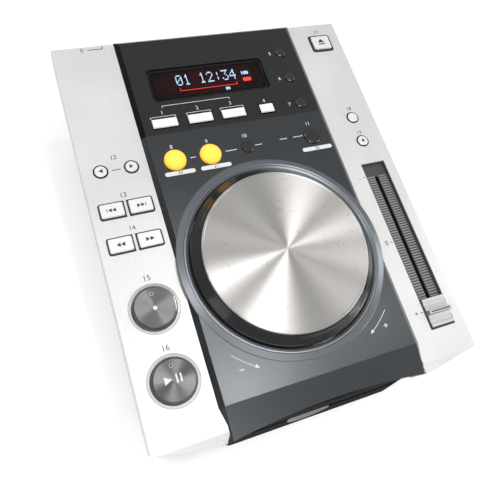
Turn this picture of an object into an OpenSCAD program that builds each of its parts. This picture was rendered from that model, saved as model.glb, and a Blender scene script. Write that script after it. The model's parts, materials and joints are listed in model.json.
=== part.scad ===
// Tabletop disc player for DJ use: wedge-shaped case, slot loader, jog dial, tempo fader.
// Two frames are used. The row frame stands on the table: X right, Y to the back, Z up.
// The deck frame lies on the sloping silver top: x right, y up the slope, z out of it.

/* [Case] */
// Width of the silver case
case_w = 218; // [210:0.5:226]
// Length of the sloping top, front edge to rear edge
deck_len = 271; // [266:0.5:276]
// Slope of the top, down towards the user
deck_tilt = 9; // [8:0.25:10]
// Height of the middle of the top above the table
deck_mid_h = 82; // [80:0.5:86]
// Radius of the case corners seen from above
case_corner_r = 3; // [1.5:0.5:4]
// Wall of the silver case
case_wall = 2.5; // [2:0.1:3]
// Depth of the silver sides
skirt_d = 22; // [18:0.5:24]
// How far the front brow stands out at the centre
brow_reach = 6.2; // [5:0.1:7]
// How far the brow drops over that reach
brow_drop = 4; // [3:0.1:4.5]
// Half width of the straight middle of the brow
brow_half = 73; // [70:0.5:80]
// Wall of the black lower case
tub_wall = 2; // [1.6:0.1:2.4]
// Gap between the lower case and the silver sides around it
tub_gap = 0.6; // [0.4:0.1:1]
// Height of the rubber feet
foot_h = 8; // [6:0.5:9]
// Radius of the rubber feet
foot_r = 9; // [7:0.5:11]
// Distance of the feet from the sides of the lower case
foot_inset = 16; // [14:0.5:20]

/* [Centre panel] */
// Middle of the raised dark panel, right of the case's middle
panel_x = 1.2; // [0:0.1:2]
// Width of the panel at its foot
panel_w = 135.2; // [133:0.2:138]
// Height of the panel above the silver top
panel_t = 3; // [2.4:0.1:3.5]
// Width of the sloping edge of the panel
panel_chamfer = 3.4; // [2.5:0.1:4]
// Distance of the fold at the front from the flat top's front edge
crease_in = 13.5; // [12:0.5:15]
// How far the folded band stands out past the flat top's front edge
band_reach = 6.3; // [5.5:0.1:7]
// Height of the band's front edge
band_z = -1; // [-1.5:0.1:-0.5]
// How far the band's front edge is arched back over the disc slot
band_arch = 4.8; // [3:0.1:6]
// Length of the display section, from the rear edge
display_d = 79.9; // [78:0.1:82]
// Width of the display window
window_w = 86; // [80:0.5:90]
// Length of the display window up the slope
window_d = 27; // [24:0.5:30]
// Middle of the display window, from the panel's middle
window_x = -9; // [-12:0.5:-6]
// Distance of the window's middle from the rear edge
window_in = 41.5; // [40:0.5:43]

/* [Jog dial] */
// Distance of the dial's middle from the flat top's front edge
jog_in = 91.7; // [90:0.1:93]
// Radius of the brushed top disc
jog_cap_r = 54; // [52:0.25:55]
// Height of the dial's top above the silver
jog_top_z = 12; // [11:0.25:13]
// Radius of the glossy skirt at its foot
jog_skirt_r = 60.2; // [59:0.1:61]
// Height of the skirt's foot above the silver
jog_foot_z = 5; // [4.6:0.1:5.5]
// Gap between the skirt and the fixed ring
jog_gap = 0.9; // [0.6:0.1:1.2]
// Outer radius of the fixed ring
ring_r = 69; // [68:0.25:70]
// Height of the ring's bright inner edge
ring_top_z = 5; // [4.6:0.1:5.4]
// Radius of the dial's shaft
jog_shaft_r = 4; // [3:0.25:5]
// Running clearance of shafts in their bushes
run_fit = 0.05; // [0.03:0.01:0.08]

/* [Tempo fader] */
// Distance of the fader's middle from the right side of the case
fader_in = 17.6; // [17:0.1:19]
// Width of the plate
fader_plate_w = 19.2; // [18:0.2:20]
// Distance of the plate's front end from the flat top's front edge
fader_plate_in = 18.1; // [17:0.1:19]
// Depth of the plate's face below the silver
fader_sink = 2.4; // [1.5:0.1:3]
// Travel of the fader
fader_travel = 100; // [95:1:103]
// Distance of the lever's front stop from the plate's front end
fader_stop_in = 10.9; // [10:0.1:12]
// Width of the fader knob
knob_w = 17; // [15:0.5:18]
// Length of the fader knob
knob_l = 20; // [17:0.5:21]
// Height of the fader knob
knob_h = 7; // [6:0.5:8]

/* [Buttons] */
// Clearance between a button and its hole
button_gap = 0.3; // [0.2:0.05:0.4]
// Radius of the small round silver buttons
dot_button_r = 3.8; // [3:0.1:4.2]
// Radius of the small round black buttons
small_button_r = 3.9; // [3:0.1:4.5]
// Radius of the lit loop buttons
lit_button_r = 7.1; // [6:0.1:8]
// Width of the track and search buttons
pair_button_w = 14.2; // [13:0.1:15]
// Length of the track and search buttons
pair_button_d = 9.4; // [8:0.1:10]
// Distance between the two buttons of a pair
pair_pitch = 17.9; // [17:0.1:19]
// Radius of the large round buttons
big_button_r = 13.3; // [12:0.1:14]
// Radius of the brushed cap on a large button
big_cap_r = 12.1; // [11:0.1:12.4]
// Width of the white bar buttons
bar_button_w = 17.1; // [15:0.1:18]
// Length of the white bar buttons up the slope
bar_button_d = 6.8; // [6:0.1:8]
// Width of the eject button
eject_w = 15; // [13:0.1:16]
// Length of the eject button up the slope
eject_d = 12.4; // [11:0.1:13]
// Travel of the small buttons
small_travel = 0.6; // [0.4:0.1:0.8]
// Travel of the large buttons
big_travel = 1.2; // [0.8:0.1:1.4]

/* [Disc loader] */
// Side clearance of a disc in the slot
slot_side = 2; // [1.5:0.25:2.5]
// Height of the disc slot
slot_h = 5.2; // [4.8:0.1:6]
// Height of the disc's path above the table
slot_z = 34; // [33:0.25:35]
// Width of the finger dish under the slot
dish_w = 30; // [28:0.5:36]
// How far left of the slot's middle the finger dish lies
dish_off = 8; // [0:0.5:9]
// Distance of the turntable's middle from the lower case's front wall
turntable_in = 68.9; // [67:0.1:71]
// Radius of the loading roller
roller_r = 4.5; // [4:0.1:5]
// Travel of the pickup sled
sled_travel = 34; // [30:0.5:36]

/* [Rear] */
// Outer radius of an audio jack's barrel
jack_r = 4.15; // [4:0.05:4.3]
// How far a jack's barrel stands out of the rear wall
jack_reach = 9; // [8:0.5:10]
// Height of the jacks above the table
jack_z = 34; // [30:0.5:40]
// Distance between neighbouring audio jacks
jack_pitch = 18; // [16:0.5:20]
// Bore of the mains cord's gland
gland_bore_r = 3.4; // [3:0.1:4]
// Bore of the control jack
control_bore_r = 1.8; // [1.75:0.05:1.85]

/* [Hidden] */
$fn = 64;
eps = 0.02;            // overlap of cutting tools past a face
big = 400;             // size of half-space cutters
s = sin(deck_tilt);
c = cos(deck_tilt);

// Deck: edges and heights
panel_y1 = deck_len/2;                 // rear edge of the flat top and of the panel
deck_y0 = -deck_len/2;                 // front edge of the flat top
side_x = case_w/2;
brow_y = deck_y0 - brow_reach;
brow_back = 3.5;                       // how far the solid brow reaches behind the flat top's edge
case_edge = 0.8;                       // bevel along the top's side and rear edges
under_z = -case_wall;                  // underside of the silver top
board_z = -13;                         // top face of the panel board
board_t = 1.6;
board_half = side_x - 9;
board_in = 21.5;                       // distance of the panel board's ends from the top's ends
ledge = 4;                             // width of the silver ledge that carries the panels

// Centre panel
panel_half = panel_w/2;
crease_y = deck_y0 + crease_in;
band_y = deck_y0 - band_reach;
band_u = (band_z - panel_t)/(band_y - crease_y);  // slope of the folded band
band_arch_r = (panel_half*panel_half + band_arch*band_arch)/(2*band_arch);
display_y = panel_y1 - display_d;
window_y = panel_y1 - window_in;
window_r = 3;
window_t = 1.2;
window_ledge = 2;                      // rim that the window rests on
module_t = 4;                          // thickness of the display module's foot

// Row frame: extents that centre the part front to back
skirt_fit = 0.4;                       // extra room behind the brow
front_reach = -(band_y*c - band_z*s);
wall_back_y = panel_y1*c - case_wall*c + case_wall*s - tub_gap;
mid_y = (wall_back_y + jack_reach - front_reach)/2;
tub_half = side_x - case_wall - tub_gap;
tub_front_y = (deck_y0 + case_wall)*c + skirt_d*s + tub_gap + skirt_fit;
wall_in_y = wall_back_y - tub_wall;
floor_z = foot_h + tub_wall;

// Dial
jog_y = deck_y0 + jog_in;
ring_wall_r = jog_skirt_r + jog_gap;   // inner face of the fixed ring
well_r = ring_wall_r + 1.6;            // hole for the ring in the panels
ring_fit = 0.3;
base_z = -10;                          // floor of the ring's dish
dish_floor_t = 2;
bearing_r = 8;
bearing_lip = 6;
jog_hub_z = base_z + dish_floor_t + 3.3;   // foot of the dial's hub, just over the bearing
jog_hub_r = jog_shaft_r + 5;
jog_web_t = 2.5;
jog_deck_z = jog_top_z - 1.6;              // underside of the brushed cap
encoder_z = base_z - 5;
encoder_r = 17;
encoder_t = 0.8;
encoder_slots = 36;
encoder_hole_r = encoder_r + 2;

// Tempo fader
fader_x = side_x - fader_in;
fader_plate_y0 = deck_y0 + fader_plate_in;
fader_stop_y = fader_plate_y0 + fader_stop_in;
fader_plate_y1 = fader_plate_y0 + fader_travel + 25.3;
fader_hook = 2.5;                      // how far the plate reaches under the silver top
fader_hook_t = 1.4;
fader_rim = 0.7;
lever_l = 5;
lever_w = 1.6;
lever_fit = 0.02;
slot_end = 1.5;                        // room past the lever's stops
slot_y0 = fader_stop_y - lever_l/2 - slot_end;
slot_y1 = fader_stop_y + fader_travel + lever_l/2 + slot_end;
fader_slot_half = lever_w/2 + 0.6;
knob_z0 = -fader_sink + 0.4;

// Buttons: places
folder_y = panel_y1 - 98.2;
track_y = panel_y1 - 126.2;
search_y = panel_y1 - 149.5;
pair_x = 22.3 - side_x;
folder_pitch = 19.6;
cue_y = deck_y0 + 78.4;
play_y = deck_y0 + 35.3;
big_x = 22.9 - side_x;
bar_y = panel_y1 - 72;
bar_xs = [-49.3, -24.5, -0.3];         // first three bars, from the panel's middle
short_bar_x = 24.8;
short_bar_w = 10.3;
aux_x = 51.8;
aux_ys = [for (d = [25.7, 48.5, 71.4]) panel_y1 - d];
loop_y = panel_y1 - 100.6;
loop_up = 1;                           // the black loop buttons lie a little higher
lit_xs = [-50.1, -25.8];
reloop_x = 1.2;
reloop_r = 4.3;
loop_x = 50.7;
loop_r = 6.2;
loop_light_x = 33.9;
loop_light_up = 2.4;
loop_light_r = 1.1;
tempo_x = side_x - 17.9;
tempo_ys = [for (d = [88.5, 109]) panel_y1 - d];
eject_x = side_x - 17.6;
eject_y = panel_y1 - 18.9;

// Buttons: heights and fits
flange = 0.8;                          // rim that keeps a button under its panel
seat_gap = 0.2;                        // play between a button's rim and the panel over it
stem_gap = 0.4;                        // play left under a pressed button
rim_t = 1.2;
stem_r = 1.5;
wing_top = 1;
pair_top = 1.4;
panel_top = panel_t + 1.2;
lit_top = panel_t + 2;
big_top = 3.4;
cap_t = 0.8;
small_recess = 0.6;                    // depth of the shallow recess around wing buttons
eject_recess = 0.8;

// Rear wall, boards and fastenings
jack_xs = [for (i = [0:2]) 24 + i*jack_pitch];
jack_body_w = 11;
jack_pin_bore_r = 1.6;
control_x = 6;
control_body_w = 12;
gland_x = -34;
power_x = 37 - side_x;
power_r = 4.5;
power_out = 3.5;
power_travel = 2.5;
switch_w = 16;
switch_h = 14;
switch_d = 20;
vent_x = 11 - side_x;
vent_z = 52;
vent_h = 14;
vent_w = 2.6;
vent_pitch = 6;
post_h = 4;
post_r = 3;
main_top_z = floor_z + post_h + board_t;
main_y0 = wall_back_y - 77;
main_y1 = wall_back_y - 7;
main_x0 = -26;
main_x1 = 68;
main_posts = [for (x = [main_x0 + 6, main_x1 - 8], y = [main_y0 + 6, main_y1 - 12]) [x, y]];
supply_x0 = 9 - side_x;
supply_x1 = 71 - side_x;
supply_y0 = wall_back_y - 87;
supply_y1 = wall_back_y - 19;
supply_posts = [for (x = [supply_x0 + 4, supply_x1 - 4], y = [supply_y0 + 6, supply_y1 - 2]) [x, y]];
core_w = 44;
core_d = 34;
core_h = 34;
capacitor_xs = [for (d = [10, 30, 50]) supply_x0 + d];
pillar_r = 4;
pillar_inset = 8.5;
left_pillar_x = -tub_half + pillar_inset;
// the right pillars stand between the loader and the fader plate
right_pillar_x = fader_x - fader_plate_w/2 - fader_hook - pillar_r - 1.1;
pillars = [for (x = [left_pillar_x, right_pillar_x])
           for (y = [tub_front_y + pillar_inset, wall_back_y - pillar_inset]) [x, y]];
screw_r = 1.5;
screw_head_r = 2.9;
screw_head_h = 2;
screw_head_z = foot_h + 6;
screw_l = 12;
foot_x = tub_half - foot_inset - 6;
foot_ys = [tub_front_y + foot_inset + 8, wall_back_y - foot_inset - 8];

// Front nose with the slot
disc_d = 120;                          // a standard disc
slot_w = disc_d + 2*slot_side;
slot_low = slot_z - slot_h/2;
nose_half = slot_w/2 + 3;
nose_reach = 8.5;
nose_front_y = tub_front_y - nose_reach;
nose_r = 8;
nose_gap = 0.4;
mouth_rim = 3;
dish_x = panel_x - dish_off;
dish_depth = 5;
dish_skin = 0.8;
dish_sphere = (dish_w*dish_w/4 + dish_depth*dish_depth)/(2*dish_depth);

// Disc loader
bay_z1 = slot_low + slot_h;
loader_half = slot_w/2 + 6;
loader_y0 = tub_front_y + tub_wall + 1.5;
loader_y1 = loader_y0 + 161.4;
sheet = 1.5;
tray_z = 18;
turntable_y = tub_front_y + turntable_in;
roller_y = loader_y0 + 14;
roller_z = slot_low + 0.2 - roller_r;
roller_half = slot_w/2 - 2;
roller_waist = 0.7;                    // the roller is thinner in the middle
puck_hole_r = 16;
puck_gap = 0.6;
rail_x = 24;
rail_z = 24;
rail_r = 1.5;
rail_end = 3;
rail_y0 = turntable_y + 11;
sled_y = turntable_y + 25;
sled_half = 9;
rail_y1 = sled_y + sled_travel + sled_half + 1;
motor_r = 13;
motor_top = 27.4;

// ---- frames and helpers ----
// Row frame, centred front to back
module row() { translate([0, -mid_y, 0]) children(); }
// Deck frame
module deck() { row() translate([0, 0, deck_mid_h]) rotate([deck_tilt, 0, 0]) children(); }
// A box from its low corner to its high corner
module box(a, b) { translate(a) cube(b - a); }
// Rounded rectangle centred on the origin, drawn exactly
module round_rect(w, d, r) {
  square([w - 2*r, d], center = true);
  square([w, d - 2*r], center = true);
  for (x = [-1, 1], y = [-1, 1]) translate([x*(w/2 - r), y*(d/2 - r)]) circle(r);
}
// Plate with rounded corners between two heights
module slab(w, d, r, z0, z1) {
  translate([0, 0, z0]) linear_extrude(z1 - z0) round_rect(w, d, r);
}
module tube(r, r_in, h) {
  difference() {
    cylinder(r = r, h = h);
    translate([0, 0, -eps]) cylinder(r = r_in, h = h + 2*eps);
  }
}
// Cylinder from front to back, from y0 to y1
module along_y(x, z, r, y0, y1) {
  translate([x, y0, z]) rotate([-90, 0, 0]) cylinder(r = r, h = y1 - y0);
}
// Everything above the plane at height z
module above(z) {
  translate([-big/2, -big/2, z]) cube(big);
}

// ---- silver case ----
// Plan of the silver case with its bowed front, drawn in by d all round
module case_plan(d) {
  round_rect(case_w - 2*d, deck_len - 2*d, max(case_corner_r - d, 0.5));
  polygon([[-case_w/2 + case_corner_r, deck_y0 + d], [-brow_half, brow_y + d],
           [brow_half, brow_y + d], [case_w/2 - case_corner_r, deck_y0 + d]]);
}
// Wedge that is cut off the brow, raised by d
module brow_cut(d) {
  translate([0, deck_y0, d]) rotate([atan(brow_drop/brow_reach), 0, 0])
    translate([-big/2, -big, 0]) cube([big, big, big/2]);
}
// Round hole of a wing button in its shallow recess, wider by w
module button_well(x, y, r, w) {
  translate([x, y, under_z - eps]) cylinder(r = r + button_gap, h = case_wall + 1);
  translate([x, y, -small_recess]) cylinder(r = r + w, h = 1);
}
// Two rectangular holes in one recess
module pair_hole(y) {
  for (i = [-1, 1]) translate([pair_x + i*pair_pitch/2, y, 0])
    slab(pair_button_w + 2*button_gap, pair_button_d + 2*button_gap, 1.3, under_z - eps, 1);
  translate([pair_x, y, 0])
    slab(pair_pitch + pair_button_w + 2.2, pair_button_d + 2.2, 1.8, -small_recess, 1);
}
// Bevels along the side and rear edges of the top
module edge_bevels() {
  w = case_edge*sqrt(2);
  for (x = [-1, 1]) translate([x*side_x, 0, 0]) rotate([0, 45, 0]) cube([w, deck_len, w], center = true);
  translate([0, panel_y1, 0]) rotate([45, 0, 0]) cube([case_w, w, w], center = true);
}
module upper_case() {
  color([0.82, 0.83, 0.84]) deck() difference() {
    union() {
      difference() {
        translate([0, 0, -skirt_d]) linear_extrude(skirt_d) case_plan(0);
        translate([0, 0, -skirt_d - eps]) linear_extrude(skirt_d - case_wall + eps) case_plan(case_wall);
      }
      // solid brow behind the sloping face, so the skin keeps its thickness there
      box([-brow_half, brow_y + 1, -brow_drop - case_wall], [brow_half, deck_y0 + brow_back, 0]);
    }
    brow_cut(0);
    edge_bevels();
    // the centre of the front is left open for the nose
    box([panel_x - nose_half - nose_gap, brow_y - 1, -skirt_d - 1],
        [panel_x + nose_half + nose_gap, deck_y0 + brow_back, 1]);
    // opening under the panels, with a ledge that carries them
    box([panel_x - panel_half + ledge, crease_y + 10, under_z - eps],
        [panel_x + panel_half - ledge, panel_y1 - ledge, 1]);
    translate([panel_x, jog_y, under_z - eps]) cylinder(r = well_r + 0.2, h = 10);
    // wells and recesses of the buttons on the wings
    for (i = [-1, 1]) button_well(pair_x + i*folder_pitch/2, folder_y, dot_button_r, 1.1);
    for (y = [track_y, search_y]) pair_hole(y);
    for (y = [cue_y, play_y]) button_well(big_x, y, big_button_r, 1.5);
    for (y = tempo_ys) button_well(tempo_x, y, dot_button_r, 1.1);
    translate([eject_x, eject_y, 0]) {
      slab(eject_w + 2*button_gap, eject_d + 2*button_gap, 1.6, under_z - eps, 1);
      slab(eject_w + 3.4, eject_d + 3.4, 2.4, -eject_recess, 1);
    }
    // opening of the fader plate
    box([fader_x - fader_plate_w/2, fader_plate_y0, under_z - eps],
        [fader_x + fader_plate_w/2, fader_plate_y1, 1]);
  }
}

// ---- black lower case ----
// Block of the lower case from height z0 up, drawn in by d from the walls
module tub_block(d, z0) {
  row() box([-tub_half + d, tub_front_y + d, z0], [tub_half - d, wall_back_y - d, 2*deck_mid_h]);
}
// Standoff of a board
module post(p) {
  translate([p[0], p[1], foot_h + 1]) cylinder(r = post_r, h = post_h + tub_wall - 1);
}
module rear_hole(x, r) {
  along_y(x, jack_z, r, wall_in_y - 4, wall_back_y + 4);
}
module lower_case() {
  color([0.07, 0.07, 0.075]) difference() {
    union() {
      difference() {
        tub_block(0, foot_h);
        tub_block(tub_wall, floor_z);
      }
      row() for (p = concat(main_posts, supply_posts)) post(p);
      // pillars that carry the silver top
      row() for (p = pillars) translate([p[0], p[1], foot_h]) cylinder(r = pillar_r, h = 2*deck_mid_h);
    }
    deck() above(under_z);
    row() {
      for (p = pillars) translate([p[0], p[1], 0]) {
        cylinder(r = screw_head_r + 0.3, h = screw_head_z + screw_head_h);
        cylinder(r = screw_r + run_fit, h = screw_head_z + screw_head_h + screw_l + 1);
      }
      // mouth of the front wall, behind the nose
      box([panel_x - nose_half + mouth_rim, tub_front_y - 1, slot_low - mouth_rim],
          [panel_x + nose_half - mouth_rim, tub_front_y + tub_wall + 1, bay_z1 + mouth_rim]);
      for (x = jack_xs) rear_hole(x, jack_r + 0.6);
      rear_hole(control_x, 3.4);
      rear_hole(gland_x, gland_bore_r + 3.1);
      rear_hole(power_x, power_r + button_gap);
      // slots that let warm air out at the back
      for (i = [0:8]) translate([vent_x + i*vent_pitch, wall_in_y - 1, vent_z])
        cube([vent_w, tub_wall + 2, vent_h]);
    }
  }
}

// ---- front nose with the disc slot ----
module nose_plan() {
  for (x = [-1, 1]) translate([panel_x + x*(nose_half - nose_r), nose_front_y + nose_r]) circle(nose_r);
  translate([panel_x - nose_half, nose_front_y + nose_r])
    square([2*nose_half, max(tub_front_y - nose_front_y - nose_r, eps)]);
  translate([panel_x - nose_half + nose_r, nose_front_y])
    square([2*(nose_half - nose_r), tub_front_y - nose_front_y]);
}
// Half bowl under the slot, of a sphere's form, smaller by d
module dish_form(d) {
  intersection() {
    translate([dish_x, nose_front_y - dish_sphere + dish_depth, slot_low])
      sphere(r = dish_sphere - d, $fn = 96);
    translate([dish_x - dish_w, nose_front_y - 1, slot_low - dish_w])
      cube([2*dish_w, dish_depth + 2, dish_w]);
  }
}
module slot_nose() {
  color([0.05, 0.05, 0.055]) difference() {
    row() translate([0, 0, foot_h]) linear_extrude(deck_mid_h) intersection() {
      nose_plan();
      translate([-big/2, tub_front_y - big]) square(big);
    }
    row() box([panel_x - slot_w/2, nose_front_y - 1, slot_low],
              [panel_x + slot_w/2, tub_front_y + 1, bay_z1]);
    row() dish_form(0);
    deck() above(-brow_drop - 0.3);
  }
}
module finger_dish() {
  color([0.6, 0.61, 0.62]) row() intersection() {
    difference() { dish_form(0); dish_form(dish_skin); }
    translate([-big/2, nose_front_y, 0]) cube([big, 20, big]);
  }
}

// ---- dark centre panels ----
// Side profile of the raised panel, from y0 to the rear edge
module panel_form() {
  difference() {
    translate([panel_x, 0, 0]) rotate([90, 0, 90]) translate([0, 0, -panel_half]) linear_extrude(panel_w)
      polygon([[panel_y1, 0], [panel_y1 - panel_chamfer, panel_t], [crease_y, panel_t], [band_y, band_z],
               [band_y, -brow_drop], [brow_y, -brow_drop], [deck_y0, 0]]);
    for (x = [-1, 1]) panel_bevel(x);
    // arched front edge over the slot
    translate([panel_x, band_y + band_arch - band_arch_r, -20]) cylinder(r = band_arch_r, h = 40, $fn = 256);
  }
}
// Sloping side edges, along the deck and along the folded band
module panel_bevel(x) {
  a = atan(panel_t/panel_chamfer);
  translate([panel_x + x*panel_half, crease_y - 5, 0]) rotate([0, x*a, 0])
    translate([-big/2, 0, 0]) cube([big, big, 20]);
  translate([panel_x + x*panel_half, crease_y, 0]) rotate([atan(band_u), 0, 0]) rotate([0, x*a, 0])
    translate([-big/2, -big, 0]) cube([big, big, 20]);
}
module round_well(x, y, r) {
  translate([panel_x + x, y, -5]) cylinder(r = r + button_gap, h = 20);
}
module bar_well(x, w) {
  translate([panel_x + x, bar_y, 0]) slab(w + 2*button_gap, bar_button_d + 2*button_gap, 0.8, -5, 9);
  translate([panel_x + x, bar_y, 0]) slab(w + 2, bar_button_d + 2, 1, panel_t - 0.5, 9);
}
module display_panel() {
  color([0.1, 0.1, 0.11]) deck() difference() {
    intersection() { panel_form(); translate([-big/2, display_y, -10]) cube([big, big, 20]); }
    for (i = [0:2]) bar_well(bar_xs[i], bar_button_w);
    bar_well(short_bar_x, short_bar_w);
    for (y = aux_ys) round_well(aux_x, y, small_button_r);
    // window seat and the opening behind it
    translate([panel_x + window_x, window_y, 0]) slab(window_w, window_d, window_r, panel_t - window_t, 9);
    translate([panel_x + window_x, window_y, 0])
      slab(window_w - 2*window_ledge, window_d - 2*window_ledge, window_r - 1, -5, 9);
  }
}
module display_window() {
  color([0.25, 0.06, 0.06, 0.8]) deck() translate([panel_x + window_x, window_y, 0])
    slab(window_w - 0.2, window_d - 0.2, window_r - 0.1, panel_t - window_t, panel_t);
}
module display_module() {
  // glass of the display with its holder, on the panel board
  color([0.15, 0.16, 0.18]) deck() translate([panel_x + window_x, window_y, 0]) {
    slab(window_w - 6, window_d - 6, 1, board_z + module_t, panel_t - window_t - 0.3);
    slab(window_w - 12, window_d - 12, 1, board_z, board_z + module_t + eps);
  }
}
module control_panel() {
  color([0.3, 0.31, 0.33]) deck() difference() {
    intersection() { panel_form(); translate([-big/2, display_y - big, -10]) cube([big, big, 20]); }
    for (x = lit_xs) round_well(x, loop_y, lit_button_r);
    round_well(reloop_x, loop_y + loop_up, reloop_r);
    round_well(loop_x, loop_y + loop_up, loop_r);
    translate([panel_x, jog_y, -5]) cylinder(r = well_r, h = 20, $fn = 128);
    // pinhole of the loop light
    translate([panel_x + loop_light_x, loop_y + loop_light_up, -5]) cylinder(r = loop_light_r, h = 20);
  }
}

// ---- jog dial ----
module jog_frame() { deck() translate([panel_x, jog_y, 0]) children(); }
module jog_ring() {
  // fixed ring that saddles the panel, with the dish that carries the bearing
  color([0.28, 0.29, 0.3]) difference() {
    jog_frame() rotate_extrude($fn = 96) polygon([
      [ring_wall_r, ring_top_z - 0.8], [ring_wall_r + 1.2, ring_top_z], [ring_wall_r + 1.9, ring_top_z - 0.9],
      [ring_wall_r + 2.6, ring_top_z - 0.9], [ring_wall_r + 3.2, ring_top_z - 0.5],
      [ring_r - 0.8, panel_t + 0.5],
      [ring_r, panel_t - 0.3], [ring_r, 0], [well_r - ring_fit, 0], [well_r - ring_fit, base_z],
      [bearing_r + bearing_lip, base_z], [bearing_r + bearing_lip, base_z - 1.5], [bearing_r, base_z - 1.5],
      [bearing_r, base_z + dish_floor_t], [ring_wall_r, base_z + dish_floor_t]]);
    // seat over the panel's raised form
    jog_frame() difference() {
      box([-panel_half, -ring_r - 1, -1], [panel_half, ring_r + 1, panel_t]);
      translate([0, 0, -2]) cylinder(r = well_r - ring_fit, h = panel_t + 3, $fn = 96);
    }
  }
}
module jog_bearing() {
  color([0.7, 0.6, 0.35]) jog_frame() translate([0, 0, base_z - 1.5]) difference() {
    union() {
      cylinder(r = bearing_r - run_fit, h = 1.5 + dish_floor_t + 3);
      translate([0, 0, 1.5 + dish_floor_t]) cylinder(r = bearing_r + 2.5, h = 1.2);
    }
    translate([0, 0, -1]) cylinder(r = jog_shaft_r + run_fit, h = 20);
  }
}
module jog_skirt() {
  color([0.03, 0.03, 0.03]) jog_frame() rotate_extrude($fn = 128) polygon([
    [jog_shaft_r, jog_hub_z], [jog_hub_r, jog_hub_z], [jog_hub_r, jog_deck_z - jog_web_t],
    [jog_cap_r - 4, jog_deck_z - jog_web_t], [jog_skirt_r - 3, jog_foot_z - 0.6],
    [jog_skirt_r - 0.6, jog_foot_z - 0.6],
    [jog_skirt_r, jog_foot_z + 0.2], [jog_skirt_r - 0.6, jog_foot_z + 1], [jog_cap_r + 2.6, jog_deck_z - 1.6],
    [jog_cap_r + 0.9, jog_deck_z + 0.2], [jog_cap_r + 0.4, jog_deck_z], [jog_shaft_r, jog_deck_z]]);
}
module jog_cap() {
  color([0.75, 0.76, 0.77]) jog_frame() rotate_extrude($fn = 128) polygon([
    [0, jog_deck_z], [jog_cap_r, jog_deck_z], [jog_cap_r, jog_top_z - 0.3], [jog_cap_r - 0.3, jog_top_z],
    [jog_cap_r - 1.1, jog_top_z], [jog_cap_r - 1.4, jog_top_z - 0.25], [0, jog_top_z - 0.25]]);
}
module jog_shaft() {
  color([0.6, 0.6, 0.62]) jog_frame() {
    translate([0, 0, encoder_z - 1]) cylinder(r = jog_shaft_r, h = jog_deck_z - encoder_z + 1);
    translate([0, 0, encoder_z + encoder_t]) cylinder(r = jog_shaft_r + 2, h = 1.5);
  }
}
module encoder_disc() {
  // slotted wheel that the dial's speed is read from
  color([0.12, 0.12, 0.12]) jog_frame() translate([0, 0, encoder_z]) difference() {
    tube(encoder_r, jog_shaft_r, encoder_t);
    for (i = [1:encoder_slots]) rotate([0, 0, i*360/encoder_slots]) translate([encoder_r - 3.4, -0.6, -1])
      cube([2.4, 1.2, 3]);
  }
}

// ---- tempo fader ----
module fader_slot() {
  box([fader_x - fader_slot_half, slot_y0, board_z + 3], [fader_x + fader_slot_half, slot_y1, 2]);
}
module fader_plate() {
  // tray with a sunk face and a slot, hooked under the silver top
  color([0.2, 0.2, 0.21]) deck() difference() {
    union() {
      box([fader_x - fader_plate_w/2 + 0.1, fader_plate_y0 + 0.1, under_z - fader_hook_t],
          [fader_x + fader_plate_w/2 - 0.1, fader_plate_y1 - 0.1, -0.3]);
      box([fader_x - fader_plate_w/2 - fader_hook, fader_plate_y0 - fader_hook, under_z - fader_hook_t],
          [fader_x + fader_plate_w/2 + fader_hook, fader_plate_y1 + fader_hook, under_z]);
    }
    box([fader_x - fader_plate_w/2 + fader_rim, fader_plate_y0 + fader_rim, -fader_sink],
        [fader_x + fader_plate_w/2 - fader_rim, fader_plate_y1 - fader_rim, 2]);
    fader_slot();
  }
}
module fader_unit() {
  // long slide potentiometer under the plate, open along its top
  color([0.55, 0.56, 0.58]) deck() difference() {
    box([fader_x - 6, slot_y0 - 8, board_z], [fader_x + 6, slot_y1 + 8, under_z - fader_hook_t]);
    box([fader_x - 2.6, slot_y0, board_z + 2], [fader_x + 2.6, slot_y1, under_z - fader_hook_t - 1.2]);
    fader_slot();
  }
}
module fader_lever() {
  color([0.5, 0.5, 0.52]) deck() {
    box([fader_x - lever_w/2, fader_stop_y - lever_l/2, board_z + 4],
        [fader_x + lever_w/2, fader_stop_y + lever_l/2, 0]);
    box([fader_x - 2.3, fader_stop_y - lever_l/2, board_z + 2.3],
        [fader_x + 2.3, fader_stop_y + lever_l/2, board_z + 5]);
  }
}
module fader_knob() {
  // knob with a raised cross ridge and a scoop before and behind it
  color([0.85, 0.86, 0.87]) deck() difference() {
    translate([fader_x, fader_stop_y, 0]) union() {
      rotate([90, 0, 90]) translate([0, 0, -knob_w/2]) linear_extrude(knob_w) difference() {
        polygon([[-knob_l/2, knob_z0], [knob_l/2, knob_z0], [knob_l/2 - 0.6, knob_z0 + knob_h*0.5],
                 [1.6, knob_z0 + knob_h*0.5], [1.1, knob_z0 + knob_h], [-1.1, knob_z0 + knob_h],
                 [-1.6, knob_z0 + knob_h*0.5], [-knob_l/2 + 0.6, knob_z0 + knob_h*0.5]]);
        for (y = [-1, 1]) translate([y*knob_l*0.28, knob_z0 + knob_h*1.05]) circle(knob_h*0.62);
      }
    }
    box([fader_x - lever_w/2 - lever_fit, fader_stop_y - lever_l/2 - lever_fit, -5],
        [fader_x + lever_w/2 + lever_fit, fader_stop_y + lever_l/2 + lever_fit, lever_fit]);
  }
}

// ---- buttons ----
module stem(seat, travel, r) {
  h = seat - seat_gap - rim_t - (board_z + travel + stem_gap);
  translate([0, 0, board_z + travel + stem_gap]) cylinder(r = r, h = h + 0.5);
}
// Round button with a rim under the panel whose underside lies at height seat
module round_button(x, y, r, seat, top, travel) {
  deck() translate([x, y, 0]) {
    rotate_extrude() polygon([[0, seat - seat_gap - rim_t], [r + flange, seat - seat_gap - rim_t],
      [r + flange, seat - seat_gap], [r, seat - seat_gap], [r, top - 0.5], [r - 0.5, top], [0, top]]);
    stem(seat, travel, stem_r);
  }
}
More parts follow.
